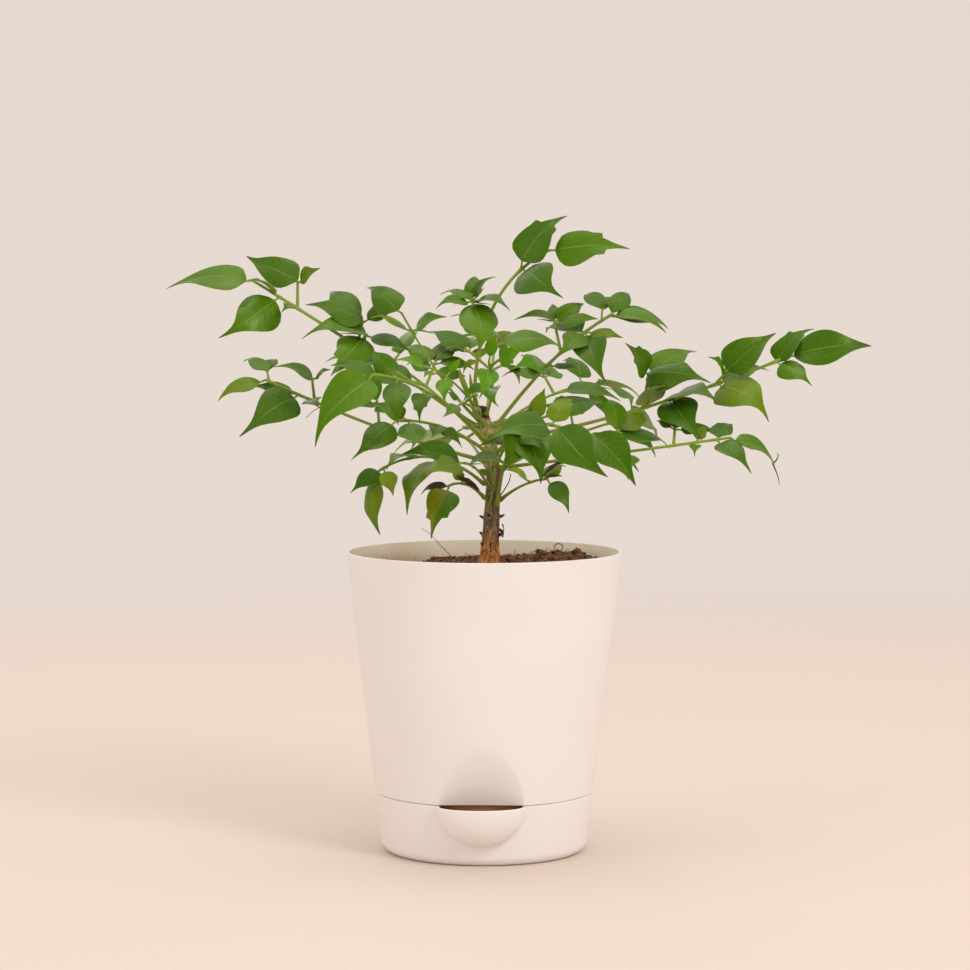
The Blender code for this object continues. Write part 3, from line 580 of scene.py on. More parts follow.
def makeTray():
    s = trayShape
    seam = potShape["seam"]
    foot = s["footRound"]
    low = outerRadius(foot)
    wide = outerRadius(seam)
    inside = wide - potShape["wall"]
    rings = [(low - foot, 0.0)]
    for i in range(1, s["footSteps"] + 1):
        turn = math.pi / 2 * i / s["footSteps"]
        rings.append((low - foot + foot * math.sin(turn), foot - foot * math.cos(turn)))
    heights = [foot + (seam - s["edge"] - foot) * i / 46 for i in range(1, 47)]
    rings += [(outerRadius(z), z) for z in heights]
    rings += [(wide - 0.00015, seam - 0.00015), (wide - 0.0004, seam), (inside + 0.0004, seam)]
    # the inner wall, from its lip down to the floor
    lip = seam - 0.0003
    fall = s["floor"] + s["wallFoot"] - lip
    rings += [(inside + 0.0001, lip)]
    rings += [(inside - s["lean"] * i / 40, lip + fall * i / 40) for i in range(1, 41)]
    rings += [(inside - inset, s["floor"] + rise) for inset, rise in s["corner"]]
    tray = turnRings(rings, frontAngles())
    inner = {
        vert.index for vert in tray.data.vertices
        if vert.co.z > s["floor"] - 0.0001 and vert.co.xy.length < outerRadius(vert.co.z) - 0.0016
    }
    thin = [side - s["scoopWall"] for side in s["scoopSize"]]
    for vert in tray.data.vertices:
        x, y, z = vert.co
        out = math.hypot(x, y)
        if z < s["scoopLow"] or y > ahead or out < outerRadius(z) - s["scoopBand"]:
            continue
        innerWall = outerRadius(z) - potShape["wall"] - s["lean"] * (seam - z) / seam
        part = within((out - innerWall) / potShape["wall"])
        size = [a + (b - a) * part for a, b in zip(thin, s["scoopSize"])]
        scoop = reach(x, y, min(z, seam), s["scoopCentre"], size)
        if scoop:
            fit = softer(out, scoop, s["scoopRound"] * (0.4 + 0.6 * part)) / out
            vert.co.x *= fit
            vert.co.y *= fit
    smooth(tray, 50)
    # faces inside the tray, from just under its lip down, wear the darker brown finish
    for face in tray.data.polygons:
        browned = inner.issuperset(face.vertices) and face.center.z < seam - s["brownTop"]
        face.material_index = 1 if browned else 0
    finishPiece(tray, "trayShell", "pot_plastic", ["tray"], potWhite, trayInside)


makePot()
makeTray()


# Potting mix

mixShape = {
    "height": 0.1232, "plateau": 0.0085, "fadeIn": 0.008, "dentRoom": 0.0400,
    "rings": 76, "sides": 200, "seed": 5,
    "heaps": (  # x, y, height, width
        (0.034, 0.026, 0.0042, 0.020), (0.036, -0.020, 0.0022, 0.018),
        (-0.016, 0.006, 0.0020, 0.009), (-0.044, 0.004, -0.0050, 0.024),
    ),
    "ripple": (0.0006, 310, 260), "clods": (0.0011, 150), "grit": (0.0005, 520),
    "sunk": (-0.036, 0.028, 0.0030, 0.020),
}
crumbShape = {
    "count": 1500, "reach": 0.055, "size": (0.0004, 0.0013), "clear": 0.0066, "wallRoom": 0.0004, "red": 0.30,
}
fibreShape = {
    "count": 340, "reach": 0.053, "long": (0.004, 0.014), "bend": 1.6, "arch": 0.0022, "thick": 0.00015,
    "inner": 0.0065, "outer": 0.0555,
    "loop": (0.0330, 0.0270, 0.1298), "loopSize": (0.0019, 0.0017), "loopThick": 0.00024,
    "upright": ((0.0130, 0.0120, 0.0066, 0.0006), (0.0440, 0.0180, 0.0034, -0.0008)), "endThick": 0.00030,
}


def hump(x, y, heap):
    return math.exp(-((x - heap[0]) ** 2 + (y - heap[1]) ** 2) / heap[3] ** 2)


def mixTop(x, y):
    # Height of the potting mix: the solid's own surface.
    s = mixShape
    lift = sum(heap[2] * hump(x, y, heap) for heap in s["heaps"])
    high, lengthwise, crosswise = s["ripple"]
    ripple = high * math.sin(lengthwise * x + 1.3) * math.cos(crosswise * y - 0.6)
    away = within((math.hypot(x, y) - s["plateau"]) / s["fadeIn"])
    return s["height"] + (lift + ripple) * away


def lumpy(x, y):
    # Clods on top of that surface.
    s = mixShape
    spot = Vector((x, y, 0.0))
    coarse = s["clods"][0] * noise.noise(spot * s["clods"][1])
    fine = s["grit"][0] * noise.noise(spot * s["grit"][1] + Vector((3, 7, 1)))
    away = within((math.hypot(x, y) - 0.006) / 0.006)
    return mixTop(x, y) + (coarse + fine) * away - s["sunk"][2] * hump(x, y, s["sunk"])


def makeMix():
    s = potShape
    top = mixShape["height"]
    ledge = s["seam"] + s["ledge"]
    edge = innerRadius(top) - gap
    rings = [
        (plugInside(s["plugBottom"]) - gap, s["plugBottom"] + s["floor"] + gap),
        (plugInside(ledge) - gap, ledge),
        (outerRadius(ledge + s["step"]) - s["wall"] - 2 * gap, ledge + s["step"]),
        (edge, top),
    ]
    rings += [(edge * (1 - i / mixShape["rings"]) + 0.0005, top) for i in range(1, mixShape["rings"])]
    bed = turnRings(rings, [2 * math.pi * i / mixShape["sides"] for i in range(mixShape["sides"])])
    for vert in bed.data.vertices:
        x, y, z = vert.co
        if z < top - 0.0005:
            # the hollow in the pot's wall takes some of the room
            if y < ahead and z < s["closer"]:
                vert.co.y = max(y, -mixShape["dentRoom"])
            continue
        vert.co.z = lumpy(x, y)
        if math.hypot(x, y) > edge - 0.0002:
            fit = (innerRadius(vert.co.z) - gap) / math.hypot(x, y)
            vert.co.x *= fit
            vert.co.y *= fit
    smooth(bed, 60)
    finishPiece(bed, "mixBed", "potting_mix", ["soil"], moistMix)


def scattered(rng, far):
    # A place drawn evenly over the mix, with its distance from the middle.
    away = far * math.sqrt(rng.random())
    turn = rng.uniform(0, 2 * math.pi)
    return away * math.cos(turn), away * math.sin(turn), away


def makeCrumbs():
    # One lump is modelled, then copied with its own size, turn and stretch.
    s = crumbShape
    rng = random.Random(mixShape["seed"])
    deselectAll()
    bpy.ops.mesh.primitive_ico_sphere_add(subdivisions=1, radius=1.0, location=(0, 0, 0))
    lump = bpy.context.active_object
    bpy.ops.object.mode_set(mode="EDIT")
    bpy.ops.mesh.select_all(action="SELECT")
    bpy.ops.transform.vertex_random(offset=0.22, seed=3)
    bpy.ops.object.mode_set(mode="OBJECT")
    base = np.array([vert.co for vert in lump.data.vertices])
    shell = [tuple(face.vertices) for face in lump.data.polygons]
    bpy.data.objects.remove(lump)
    places, faces, marks = [], [], []
    while len(places) < s["count"]:
        x, y, away = scattered(rng, s["reach"])
        size = s["size"][0] + s["size"][1] * rng.random() ** 3
        room = innerRadius(mixTop(x, y)) - away - 1.6 * size
        if room < s["wallRoom"] or away < s["clear"] + size:
            continue
        z = lumpy(x, y) + size * rng.uniform(-0.1, 0.5)
        turn = Vector((rng.random(), rng.random(), rng.random() + 0.1)).to_track_quat("Z", "Y")
        stretch = Vector((
            size * rng.uniform(0.7, 1.5), size * rng.uniform(0.7, 1.1), size * rng.uniform(0.4, 0.9)))
        shape = Matrix.LocRotScale(Vector((x, y, z)), turn, stretch)
        first = len(places) * len(base)
        places.append(base @ np.array(shape.to_3x3()).T + np.array(shape.translation))
        faces += [tuple(first + i for i in face) for face in shell]
        marks += [1 if rng.random() < s["red"] else 0] * len(shell)
    crumbs = meshFromArrays("mixCrumbs", np.concatenate(places), faces, marks)
    smooth(crumbs, 35)
    finishPiece(crumbs, "mixCrumbs", "potting_mix", [], crumbDark, crumbRed)


def makeFibres():
    s = fibreShape
    rng = random.Random(mixShape["seed"] + 1)
    paths = []
    while len(paths) < s["count"]:
        x, y, _ = scattered(rng, s["reach"])
        long = rng.uniform(*s["long"])
        way = rng.uniform(0, 2 * math.pi)
        bend = rng.uniform(-s["bend"], s["bend"])
        arch = rng.uniform(0.0, s["arch"])
        path = []
        for i in range(9):
            part = i / 8
            turned = way + bend * part
            x += long / 8 * math.cos(turned)
            y += long / 8 * math.sin(turned)
            z = lumpy(x, y) + 0.0001 + arch * math.sin(math.pi * part)
            path.append(((x, y, z), s["thick"] * (1.1 - 0.6 * part)))
        spread = [math.hypot(spot[0], spot[1]) for spot, _ in path]
        if s["inner"] <= min(spread) and max(spread) <= s["outer"]:
            paths.append(path)
    # the loop of fibre that stands up at the back right, and two upright ends
    x, y, z = s["loop"]
    wide, high = s["loopSize"]
    turns = [math.radians(-60 + 300 * i / 18) for i in range(19)]
    paths.append([
        ((x + wide * math.cos(turn), y, z + high * math.sin(turn)), s["loopThick"]) for turn in turns])
    for x, y, high, lean in s["upright"]:
        foot = lumpy(x, y) - 0.0006
        paths.append([
            ((x + lean * i / 5, y, foot + high * i / 5), s["endThick"] * (1.1 - i / 7)) for i in range(6)])
    drawTubes("mixFibres", paths, 4, "potting_mix", fibreTan)


makeMix()
makeCrumbs()
makeFibres()


# Trunk

trunkShape = {
    "stations": (  # x, height, radius
        (0.0020, 0.1235, 0.0056), (0.0022, 0.1262, 0.0044), (0.0026, 0.1330, 0.0038),
        (0.0033, 0.1460, 0.0034), (0.0041, 0.1630, 0.0030), (0.0030, 0.1765, 0.0029),
        (0.0004, 0.1860, 0.0029), (-0.0018, 0.1935, 0.0026),
    ),
    "sides": 40, "rings": 150, "easing": 0.0011,
    "corkTop": (0.1330, 0.009), "cork": (0.00018, 0.00030), "grain": (0.00008, 0.00016),
    "cell": (4.2, 190, 2.7),  # how many cells around and upwards, and how much finer the grain's are
    "nodes": (0.1290, 0.1376, 0.1452, 0.1545, 0.1640, 0.1735, 0.1820, 0.1885), "node": (0.00042, 0.0011),
    "flare": (0.0005, 0.0040, 5),
}
spurShape = {
    "stubs": (  # height, bearing, length
        (0.1452, 176, 0.0019), (0.1456, 6, 0.0022), (0.1380, 170, 0.0014), (0.1376, -14, 0.0022),
        (0.1462, 250, 0.0010), (0.1402, 80, 0.0018), (0.1510, 120, 0.0012), (0.1335, 210, 0.0010),
    ),
    "stubThick": 0.00110, "stubRoot": 0.0008,
    "hooks": ((0.1372, 0.0052, 0.0030, -20), (0.1400, -0.0036, 0.0026, 12)),  # height, rise, reach, bearing
    "hookThick": 0.00052, "hookRoot": 0.0006,
}


def trunkAt(z):
    stations = trunkShape["stations"]
    for (x0, z0, r0), (x1, z1, r1) in zip(stations, stations[1:]):
        if z <= z1:
            break
    part = within((z - z0) / (z1 - z0))
    return Vector((x0 + (x1 - x0) * part, 0.0, z)), r0 + (r1 - r0) * part


def easedTrunk(z):
    # The trunk's stations with the corners between them taken off.
    near = [trunkAt(z + step * trunkShape["easing"]) for step in (-2, -1, 0, 1, 2)]
    return sum((spot.x for spot, _ in near)) / 5, sum(radius for _, radius in near) / 5


def barkRelief(way, z):
    # How far the bark stands out: cork and grain, a ring at each leaf scar, and low roots at the foot.
    s = trunkShape
    low = s["stations"][0][1]
    corky = 1.0 - within((z - s["corkTop"][0]) / s["corkTop"][1])
    around, upwards, finer = s["cell"]
    cell = Vector((way.x * around, way.y * around, z * upwards))
    out = noise.noise(cell) * (s["cork"][0] + s["cork"][1] * corky)
    out += noise.noise(cell * finer) * (s["grain"][0] + s["grain"][1] * corky)
    high, wide = s["node"]
    for count, node in enumerate(s["nodes"]):
        turn = count * 2.4
        side = 0.55 + 0.45 * (way.x * math.cos(turn) + way.y * math.sin(turn))
        out += high * side * math.exp(-((z - node) / wide) ** 2)
    spread, height, roots = s["flare"]
    flare = max(0.0, 1.0 - (z - low) / height)
    return out + spread * flare * math.sin(roots * math.atan2(way.y, way.x) + 0.7)


def makeTrunk():
    s = trunkShape
    first = s["stations"][0]
    low, high = first[1], s["stations"][-1][1]
    stations = [(easedTrunk(low)[0], low, first[2])]
    for i in range(1, s["rings"]):
        z = low + (high - low) * i / (s["rings"] - 1)
        x, radius = easedTrunk(z)
        stations.append((x, z, radius))
    deselectAll()
    bpy.ops.mesh.primitive_circle_add(
        vertices=s["sides"], radius=first[2], fill_type="TRIFAN", location=(stations[0][0], 0, low))
    trunk = bpy.context.active_object
    bpy.ops.object.transform_apply(location=True, rotation=True, scale=True)
    drawUp(stations)
    bpy.ops.mesh.inset(thickness=0.0005, depth=0)
    bpy.ops.mesh.inset(thickness=0.0009, depth=-0.0003)
    bpy.ops.mesh.poke()
    faceOutwards()
    for vert in trunk.data.vertices:
        out = vert.co - Vector((easedTrunk(vert.co.z)[0], 0.0, vert.co.z))
        if out.length >= 0.0012 and vert.co.z > low + 0.0002:
            way = out.normalized()
            vert.co += way * barkRelief(way, vert.co.z)
    smooth(trunk, 60)
    finishPiece(trunk, "trunkBark", "bark", ["trunk"], barkBrown)


def trunkSide(z, bearing):
    # The trunk's axis and radius at a height, and the level direction of a bearing.
    spot, radius = trunkAt(z)
    turn = math.radians(bearing)
    return spot, radius, Vector((math.cos(turn), math.sin(turn), 0.0))


def makeSpurs():
    # Short dead stubs where leaves have dropped, and the dark hooked ones on the right.
    s = spurShape
    paths = []
    for z, bearing, long in s["stubs"]:
        spot, radius, way = trunkSide(z, bearing)
        path = []
        for i in range(7):
            part = i / 6
            place = spot + way * (radius - s["stubRoot"] + (long + s["stubRoot"]) * part)
            place.z += 0.0006 * part ** 2 + 0.0002 * math.sin(9 * part)
            path.append((place, s["stubThick"] * (1 - 0.72 * part ** 0.8)))
        paths.append(path)
    for z, rise, out, bearing in s["hooks"]:
        spot, radius, way = trunkSide(z, bearing)
        path = []
        for i in range(11):
            part = i / 10
            place = spot + way * (radius - s["hookRoot"] + out * math.sin(part * 2.3))
            place.z += rise * part ** 1.3
            path.append((place, s["hookThick"] * (1 + 0.5 * math.sin(7 * part)) * (1.05 - 0.55 * part)))
        paths.append(path)
    drawTubes("trunkSpurs", paths, 10, "bark", spurBrown)


makeTrunk()
makeSpurs()


# Fronds: the same named sizes and the same seeded rule as the solids'

frondRule = {
    "light": Vector((0.08, -0.72, 0.69)).normalized(), "lift": Vector((0.0, 0.0, 0.42)),
    "arch": 0.24, "twist": 26, "sideShrink": 0.76, "petiolule": 0.0028, "wobble": 5, "spread": 9,
    "thinTo": 0.72, "footThick": 1.22, "bareEnd": 0.10,
}
# Sprigs: the place along the stalk, where its side stalk ends or None, and the tip of each leaflet there.
# Ends and tips are where they show in the photo: across, down, nearness in millimetres. A tip also has the
# blade's lean and sometimes its roll, in degrees. Behind, pairs: the place, the side stalks' length, the
# number of leaflets on each and their length.
fronds = {
    "left_high": dict(low=0.1850, tip=(-0.0990, -0.016, 0.2480), bend=(0.000, -0.002, 0.001), sprigs=(
        (0.43, None, ((335, 373, 26, 22),)),
        (0.51, (366, 334, 11), ((302, 339, 18, 22), (411, 352, 18, 25), (331, 376, 34, 65))),
        (0.535, (363, 321, 9), ((306, 305, 10, 36), (331, 292, -10, 22), (404, 298, 4, 35))),
        (0.80, (298, 281, 13), ((247, 256, 2, 52), (321, 268, 24, 62))), (0.82, None, ((281, 313, 27, 52),)),
        (0.88, None, ((246, 281, 25, 20), (219, 338, 27, 72))),
    ), end=(167, 289, 12, 44), thick=0.0012, seed=11),
    "left_centre": dict(low=0.1880, tip=(-0.0350, -0.024, 0.2340), bend=(0.001, -0.003, -0.005), sprigs=(
        (0.88, None, ((370, 318, 24, 22), (447, 317, 35, 50))),
    ), end=(367, 288, 4, 60), thick=0.0010, seed=12),
    "top": dict(low=0.1900, tip=(0.0280, -0.004, 0.2610), bend=(-0.009, 0.003, 0.009), sprigs=(
        (0.41, (471, 299, 2), ((440, 295, -6, 22), (475, 277, -14, 35), (496, 277, 4, 35),
            (436, 309, 12, 38), (510, 311, 16, 28), (478, 352, 27, 74))),
        (0.80, (522, 261, 4), ((567, 216, -2, 55),)), (0.81, None, ((563, 298, 25, 72),)),
    ), end=(629, 249, 8, 60), thick=0.0012, seed=13),
    "right_high": dict(low=0.1850, tip=(0.0550, -0.010, 0.2335), bend=(0.000, 0.000, 0.005), sprigs=(
        (0.45, None, ((511, 370, 22, 62), (582, 375, 4, 26))),
        (0.56, (554, 321, 3), ((514, 320, 8, 24), (598, 319, 10, 28), (551, 304, -9, 32),
            (584, 304, -10, 40))),
        (0.77, None, ((557, 357, 24, 42), (607, 384, 28, 70), (623, 338, 16, 32), (546, 333, -16, 28))),
        (0.91, (602, 309, 6), ((584, 297, -10, 24), (620, 300, -9, 24))),
        (0.98, None, ((628, 294, -8, 35), (668, 329, 0, 30))),
    ), end=(666, 333, 22, 26), thick=0.0012, seed=41),
    "right_long": dict(low=0.1780, tip=(0.1320, 0.004, 0.2150), bend=(0.000, 0.004, -0.004), sprigs=(
        (0.50, (649, 373, -2), ((711, 383, 10, 38), (697, 352, -18, 55), (625, 343, 13, 58))),
        (0.51, None, ((664, 387, 18, 42),)), (0.59, None, ((720, 404, 20, 28), (702, 440, 22, 62))),
        (0.75, (727, 371, -4), ((776, 333, -12, 60), (708, 357, 10, 58))),
        (0.76, None, ((769, 371, -18, 28), (769, 422, 17, 66))),
        (0.95, (777, 362, -5), ((814, 329, -12, 32),)), (0.96, None, ((812, 386, 8, 62),)),
    ), end=(871, 346, -6, 46), thick=0.0013, seed=15),
    "right_low": dict(low=0.1670, tip=(0.1050, -0.022, 0.1810), bend=(0.000, -0.005, 0.000), sprigs=(
        (0.51, (617, 430, 20), ((608, 400, 4, 34), (670, 449, 6, 32), (645, 413, 0, 32))),
        (0.54, None, ((629, 480, 38, 66),)),
        (0.755, (675, 428, 8), ((672, 408, -8, 34), (719, 433, 8, 24), (657, 421, 0, 36))),
        (0.85, None, ((695, 457, 34, 48), (706, 428, 10, 34))),
        (0.94, None, ((752, 474, 33, 34), (730, 425, 4, 28))),
    ), end=(775, 466, 18, 30), thick=0.0011, seed=16),
    "front_right": dict(low=0.1510, tip=(0.0290, -0.062, 0.1880), bend=(-0.004, 0.010, 0.011), sprigs=(
        (0.66, None, ((541, 484, 60, 66), (500, 476, 54, 50))), (0.96, (594, 436, 64), ((636, 486, 76, 52),)),
        (0.97, None, ((487, 441, 78, 60), (574, 401, 42, 40))),
    ), end=(608, 477, 80, 64), thick=0.0012, seed=17),
    "back_right": dict(low=0.1820, tip=(0.0540, 0.078, 0.2010), bend=(0.000, 0.000, 0.005),
        pairs=((0.55, 0.010, 3, 0.021), (0.82, 0.003, 1, 0.021)),
        end=0.026, spread=60, roll=-10, droop=0.35, thick=0.0011, seed=18),
    "back_right_low": dict(low=0.1660, tip=(0.0640, 0.052, 0.1860), bend=(0.000, 0.000, 0.002),
        pairs=((0.58, 0.010, 3, 0.021), (0.85, 0.003, 1, 0.021)),
        end=0.027, spread=60, roll=0, droop=0.45, thick=0.0011, seed=19),
    "low_right": dict(low=0.1530, tip=(0.0270, -0.016, 0.1630), bend=(0.000, -0.001, 0.002), sprigs=(
        (0.66, None, ((506, 470, 22, 40),)), (0.90, None, ((566, 467, 2, 22),)),
    ), end=(569, 513, 24, 62), thick=0.0010, seed=20),
    "low_left": dict(low=0.1540, tip=(-0.0150, -0.014, 0.1600), bend=(0.000, 0.000, 0.003), sprigs=(
        (0.60, None, ((455, 470, 0, 42),)), (0.92, None, ((421, 495, 8, 40),)),
    ), end=(431, 539, 26, 74), thick=0.0010, seed=21),
    "left_low": dict(low=0.1600, tip=(-0.0460, -0.018, 0.1660), bend=(0.000, 0.000, 0.009), sprigs=(
        (0.45, None, ((407, 515, 32, 40, 35), (425, 452, 2, 34))), (0.64, None, ((386, 470, 34, 26),)),
        (0.94, None, ((350, 493, 24, 36), (393, 496, 30, 60))),
    ), end=(380, 535, 24, 80, 48), thick=0.0010, seed=22),
    "left_long": dict(low=0.1700, tip=(-0.0950, 0.004, 0.2050), bend=(0.002, 0.002, -0.0035), sprigs=(
        (0.50, (377, 400, 4), ((366, 372, -14, 34), (352, 408, 14, 40), (396, 419, 16, 46))),
        (0.79, (312, 378, -3), ((274, 367, 2, 40), (331, 370, 6, 46))), (0.81, None, ((320, 408, 14, 42),)),
        (0.86, None, ((252, 387, -10, 32), (239, 437, 12, 72))),
        (0.985, (267, 371, -5), ((243, 362, -18, 24), (276, 360, -18, 24))),
    ), end=(218, 401, 4, 40), thick=0.0012, seed=23),
    "front_left": dict(low=0.1800, tip=(-0.0460, -0.062, 0.2090), bend=(0.000, 0.000, 0.006), sprigs=(
        (0.55, None, ((420, 424, 50, 66),)), (0.79, None, ((398, 425, 70, 68), (372, 350, 40, 34))),
        (0.94, None, ((330, 366, 52, 30),)),
    ), end=(315, 447, 76, 64), thick=0.0012, seed=24),
    "front_mid_left": dict(low=0.1745, tip=(-0.0370, -0.044, 0.1890), bend=(0.000, 0.000, 0.004), sprigs=(
        (0.52, None, ((431, 438, 40, 62), (462, 448, 32, 40))),
        (0.86, None, ((411, 449, 60, 70), (372, 404, 32, 42))),
    ), end=(351, 460, 58, 56), thick=0.0011, seed=31),
    "front_centre": dict(low=0.1580, tip=(-0.0095, -0.046, 0.1715), bend=(0.000, 0.000, 0.003), sprigs=(
        (0.58, None, ((492, 480, 34, 40),)), (0.88, None, ((399, 456, 50, 40), (510, 468, 54, 42))),
    ), end=(424, 476, 60, 54), thick=0.0010, seed=45),
    "front_high": dict(low=0.1680, tip=(0.0160, -0.038, 0.1840), bend=(0.000, 0.000, 0.003), sprigs=(
        (0.58, None, ((478, 446, 38, 44),)), (0.88, None, ((497, 428, 52, 50), (531, 404, 22, 44))),
    ), end=(546, 452, 54, 58), thick=0.0010, seed=32),
    "front_top": dict(low=0.1860, tip=(-0.0100, -0.040, 0.1960), bend=(0.000, 0.000, 0.003), sprigs=(
        (0.60, None, ((482, 418, 40, 44),)), (0.90, None, ((446, 392, 38, 50), (479, 397, 50, 50))),
    ), end=(443, 417, 54, 60), thick=0.0010, seed=33),
    "mid_right": dict(low=0.1740, tip=(0.0290, -0.030, 0.1910), bend=(0.000, 0.000, 0.003), sprigs=(
        (0.62, None, ((545, 388, 12, 40),)), (0.92, None, ((602, 402, 14, 28),)),
    ), end=(583, 414, 44, 50), thick=0.0010, seed=34),
    "young_left": dict(low=0.1920, tip=(-0.0230, -0.030, 0.2110), bend=(0.001, 0.000, 0.002), sprigs=(
        (0.70, None, ((462, 358, 18, 34), (445, 402, 36, 46))), (0.92, None, ((424, 378, 38, 60),)),
    ), end=(394, 361, 34, 38), thick=0.0008, seed=26),
    "young_centre": dict(low=0.1905, tip=(0.0020, -0.020, 0.2130), bend=(0.002, 0.000, 0.000), sprigs=(
        (0.55, None, ((499, 407, 32, 56), (463, 402, 24, 50))), (0.92, (500, 359, 24), ((525, 347, 30, 62),)),
        (0.93, None, ((479, 399, 34, 68),)),
    ), end=(494, 332, 20, 60), thick=0.0009, seed=27),
    "back_left": dict(low=0.1780, tip=(-0.0520, 0.072, 0.2160), bend=(0.000, 0.000, 0.004),
        pairs=((0.50, 0.014, 5, 0.023), (0.80, 0.004, 1, 0.026)),
        end=0.030, spread=60, roll=8, droop=0.45, thick=0.0012, seed=28),
    "back_centre": dict(low=0.1850, tip=(0.0060, 0.092, 0.2240), bend=(0.000, 0.000, 0.004),
        pairs=((0.48, 0.014, 5, 0.022), (0.78, 0.006, 3, 0.024)),
        end=0.030, spread=60, roll=0, droop=0.45, thick=0.0012, seed=29),
    "back_low": dict(low=0.1620, tip=(-0.0160, 0.080, 0.1780), bend=(0.000, 0.000, 0.006),
        pairs=((0.58, 0.010, 3, 0.021), (0.84, 0.003, 1, 0.023)),
        end=0.026, spread=62, roll=0, droop=0.60, thick=0.0011, seed=30),
}

# fronds whose leaves turn yellow, the young ones, and single leaves that differ: (sprig, leaflet)
yellowed = ("left_low", "low_right", "back_low")
youngOnes = ("young_left", "young_centre")
oddLeaves = {
    "low_left": {
        (1, 0): {"colour": "dry", "kind": "slim", "wide": 0.44},
        (2, 0): {"colour": "half", "kind": "toothed", "wide": 0.56, "fold": 0.30},
    },
    "left_high": {
        (6, 0): {"kind": "plain", "wide": 0.60}, (7, 0): {"kind": "plain", "wide": 0.52, "fold": 0.30},
    },
    "top": {
        (1, 0): {"kind": "toothed", "wide": 0.60}, (2, 0): {"kind": "round", "wide": 0.62},
        (3, 0): {"kind": "toothed", "wide": 0.54},
    },
    "right_high": {(0, 0): {"colour": "young", "kind": "plain"}},
    "right_long": {(6, 0): {"kind": "round", "wide": 0.58}, (9, 0): {"kind": "slim", "wide": 0.50}},
    "front_left": {
        (2, 0): {"kind": "round", "wide": 0.64, "colour": "deep"},
        (4, 0): {"kind": "plain", "wide": 0.50, "fold": 0.46},
    },
    "front_right": {
        (2, 0): {"kind": "slim", "wide": 0.58}, (5, 0): {"kind": "slim", "wide": 0.56, "fold": 0.45},
    },
    "front_centre": {(3, 0): {"colour": "scorched"}},
    "front_top": {(0, 0): {"kind": "slim", "wide": 0.24}},
    "young_centre": {(2, 0): {"kind": "lobed", "wide": 0.66}},
    "right_low": {(4, 0): {"colour": "warm"}},
}


def frondCurve(frond):
    axis, radius = trunkAt(frond["low"])
    tip = Vector(frond["tip"])
    bend = 2 * Vector(frond["bend"])
    away = ((axis + tip) / 2 + bend - axis).normalized()
    level = Vector((away.x, away.y, 0.0)).normalized()
    start = axis + level * (radius + gap + 1.4 * frond["thick"] * abs(away.z) + 0.0002)
    return start, (start + tip) / 2 + bend, tip


def along(curve, part):
    start, control, tip = curve
    return start * (1 - part) ** 2 + control * 2 * part * (1 - part) + tip * part ** 2


def heading(curve, part):
    start, control, tip = curve
    return ((control - start) * (1 - part) + (tip - control) * part).normalized()


def stalkRadius(frond, part):
    return frond["thick"] * (frondRule["footThick"] - frondRule["thinTo"] * part ** 0.80)


def sprigsOf(frond):
    return frond.get("sprigs") or frond["pairs"]


def boughEnd(frond):
    return sprigsOf(frond)[0][0] - frondRule["bareEnd"]


def frameOf(spot, axis, face):
    side = face.cross(axis).normalized()
    turn = Matrix((axis, side, axis.cross(side).normalized())).transposed().to_4x4()
    return Matrix.Translation(spot) @ turn


def growLeaf(root, way, face, stalk, long, droop, rng):
    loose = Vector((rng.uniform(-0.12, 0.12), rng.uniform(-0.12, 0.12), 0.0))
    way = way.normalized()
    sag = droop * rng.uniform(0.5, 1.4) * (1.0 - 0.75 * max(0.0, way.z))
    axis = (way + loose + Vector((0.0, 0.0, -sag))).normalized()
    turn = Matrix.Rotation(math.radians(rng.uniform(-frondRule["twist"], frondRule["twist"])), 3, axis)
    long = long * rng.uniform(0.88, 1.12)
    face = (face + 0.12 * Vector((0.0, 0.0, 1.0))).normalized()
    face = turn @ (face - axis * face.dot(axis)).normalized()
    base = root + (way * 0.7 + axis * 0.3).normalized() * stalk
    return {"root": root, "base": base, "long": long, "frame": frameOf(base, axis, face), "way": way}


def pinna(spot, way, face, stalk, count, long, droop, rng):
    leaves = [growLeaf(spot, way, face, stalk + frondRule["petiolule"], long, droop, rng)]
    end = leaves[0]["base"]
    side = face.cross(way).normalized()
    for row in range((count - 1) // 2):
        foot = spot.lerp(end, 0.86 - 0.40 * row)
        for hand in (-1, 1):
            aside = way * 0.58 + side * hand * 0.81
            shorter = long * frondRule["sideShrink"] * (1.0 - 0.16 * row)
            leaves.append(growLeaf(foot, aside, face, frondRule["petiolule"], shorter, droop, rng))
    return leaves


def seen(across, down, near):
    # The place that shows at a pixel of the photo, at a given nearness in millimetres.
    away = camera["away"] - near / 1000
    slope = math.radians(camera["down"]) + math.atan((down - camera["middle"]) / camera["focus"])
    x = (across - camera["middle"]) / camera["focus"] * away + camera["across"]
    return Vector((x, -near / 1000, camera["high"] - away * math.tan(slope)))


def aimedLeaf(root, base, aim, rng):
    # A leaflet whose arched blade ends at the place that its table line gives.
    tip = seen(*aim[:3])
    lean = math.radians(aim[3] + rng.uniform(-frondRule["wobble"], frondRule["wobble"]))
    roll = math.radians(aim[4]) if len(aim) > 4 else 0.0
    if base is None:
        base = root + (tip - root).normalized() * frondRule["petiolule"]
    chord = (tip - base).normalized()
    face = Vector((0.0, -math.sin(lean), math.cos(lean)))
    face = Matrix.Rotation(roll, 3, chord) @ (face - chord * face.dot(chord)).normalized()
    rise = math.atan(frondRule["arch"])
    axis = chord * math.cos(rise) + face * math.sin(rise)
    long = (tip - base).length * math.cos(rise)
    way = (base - root).normalized()
    return {"root": root, "base": base, "long": long, "frame": frameOf(base, axis, face), "way": way}


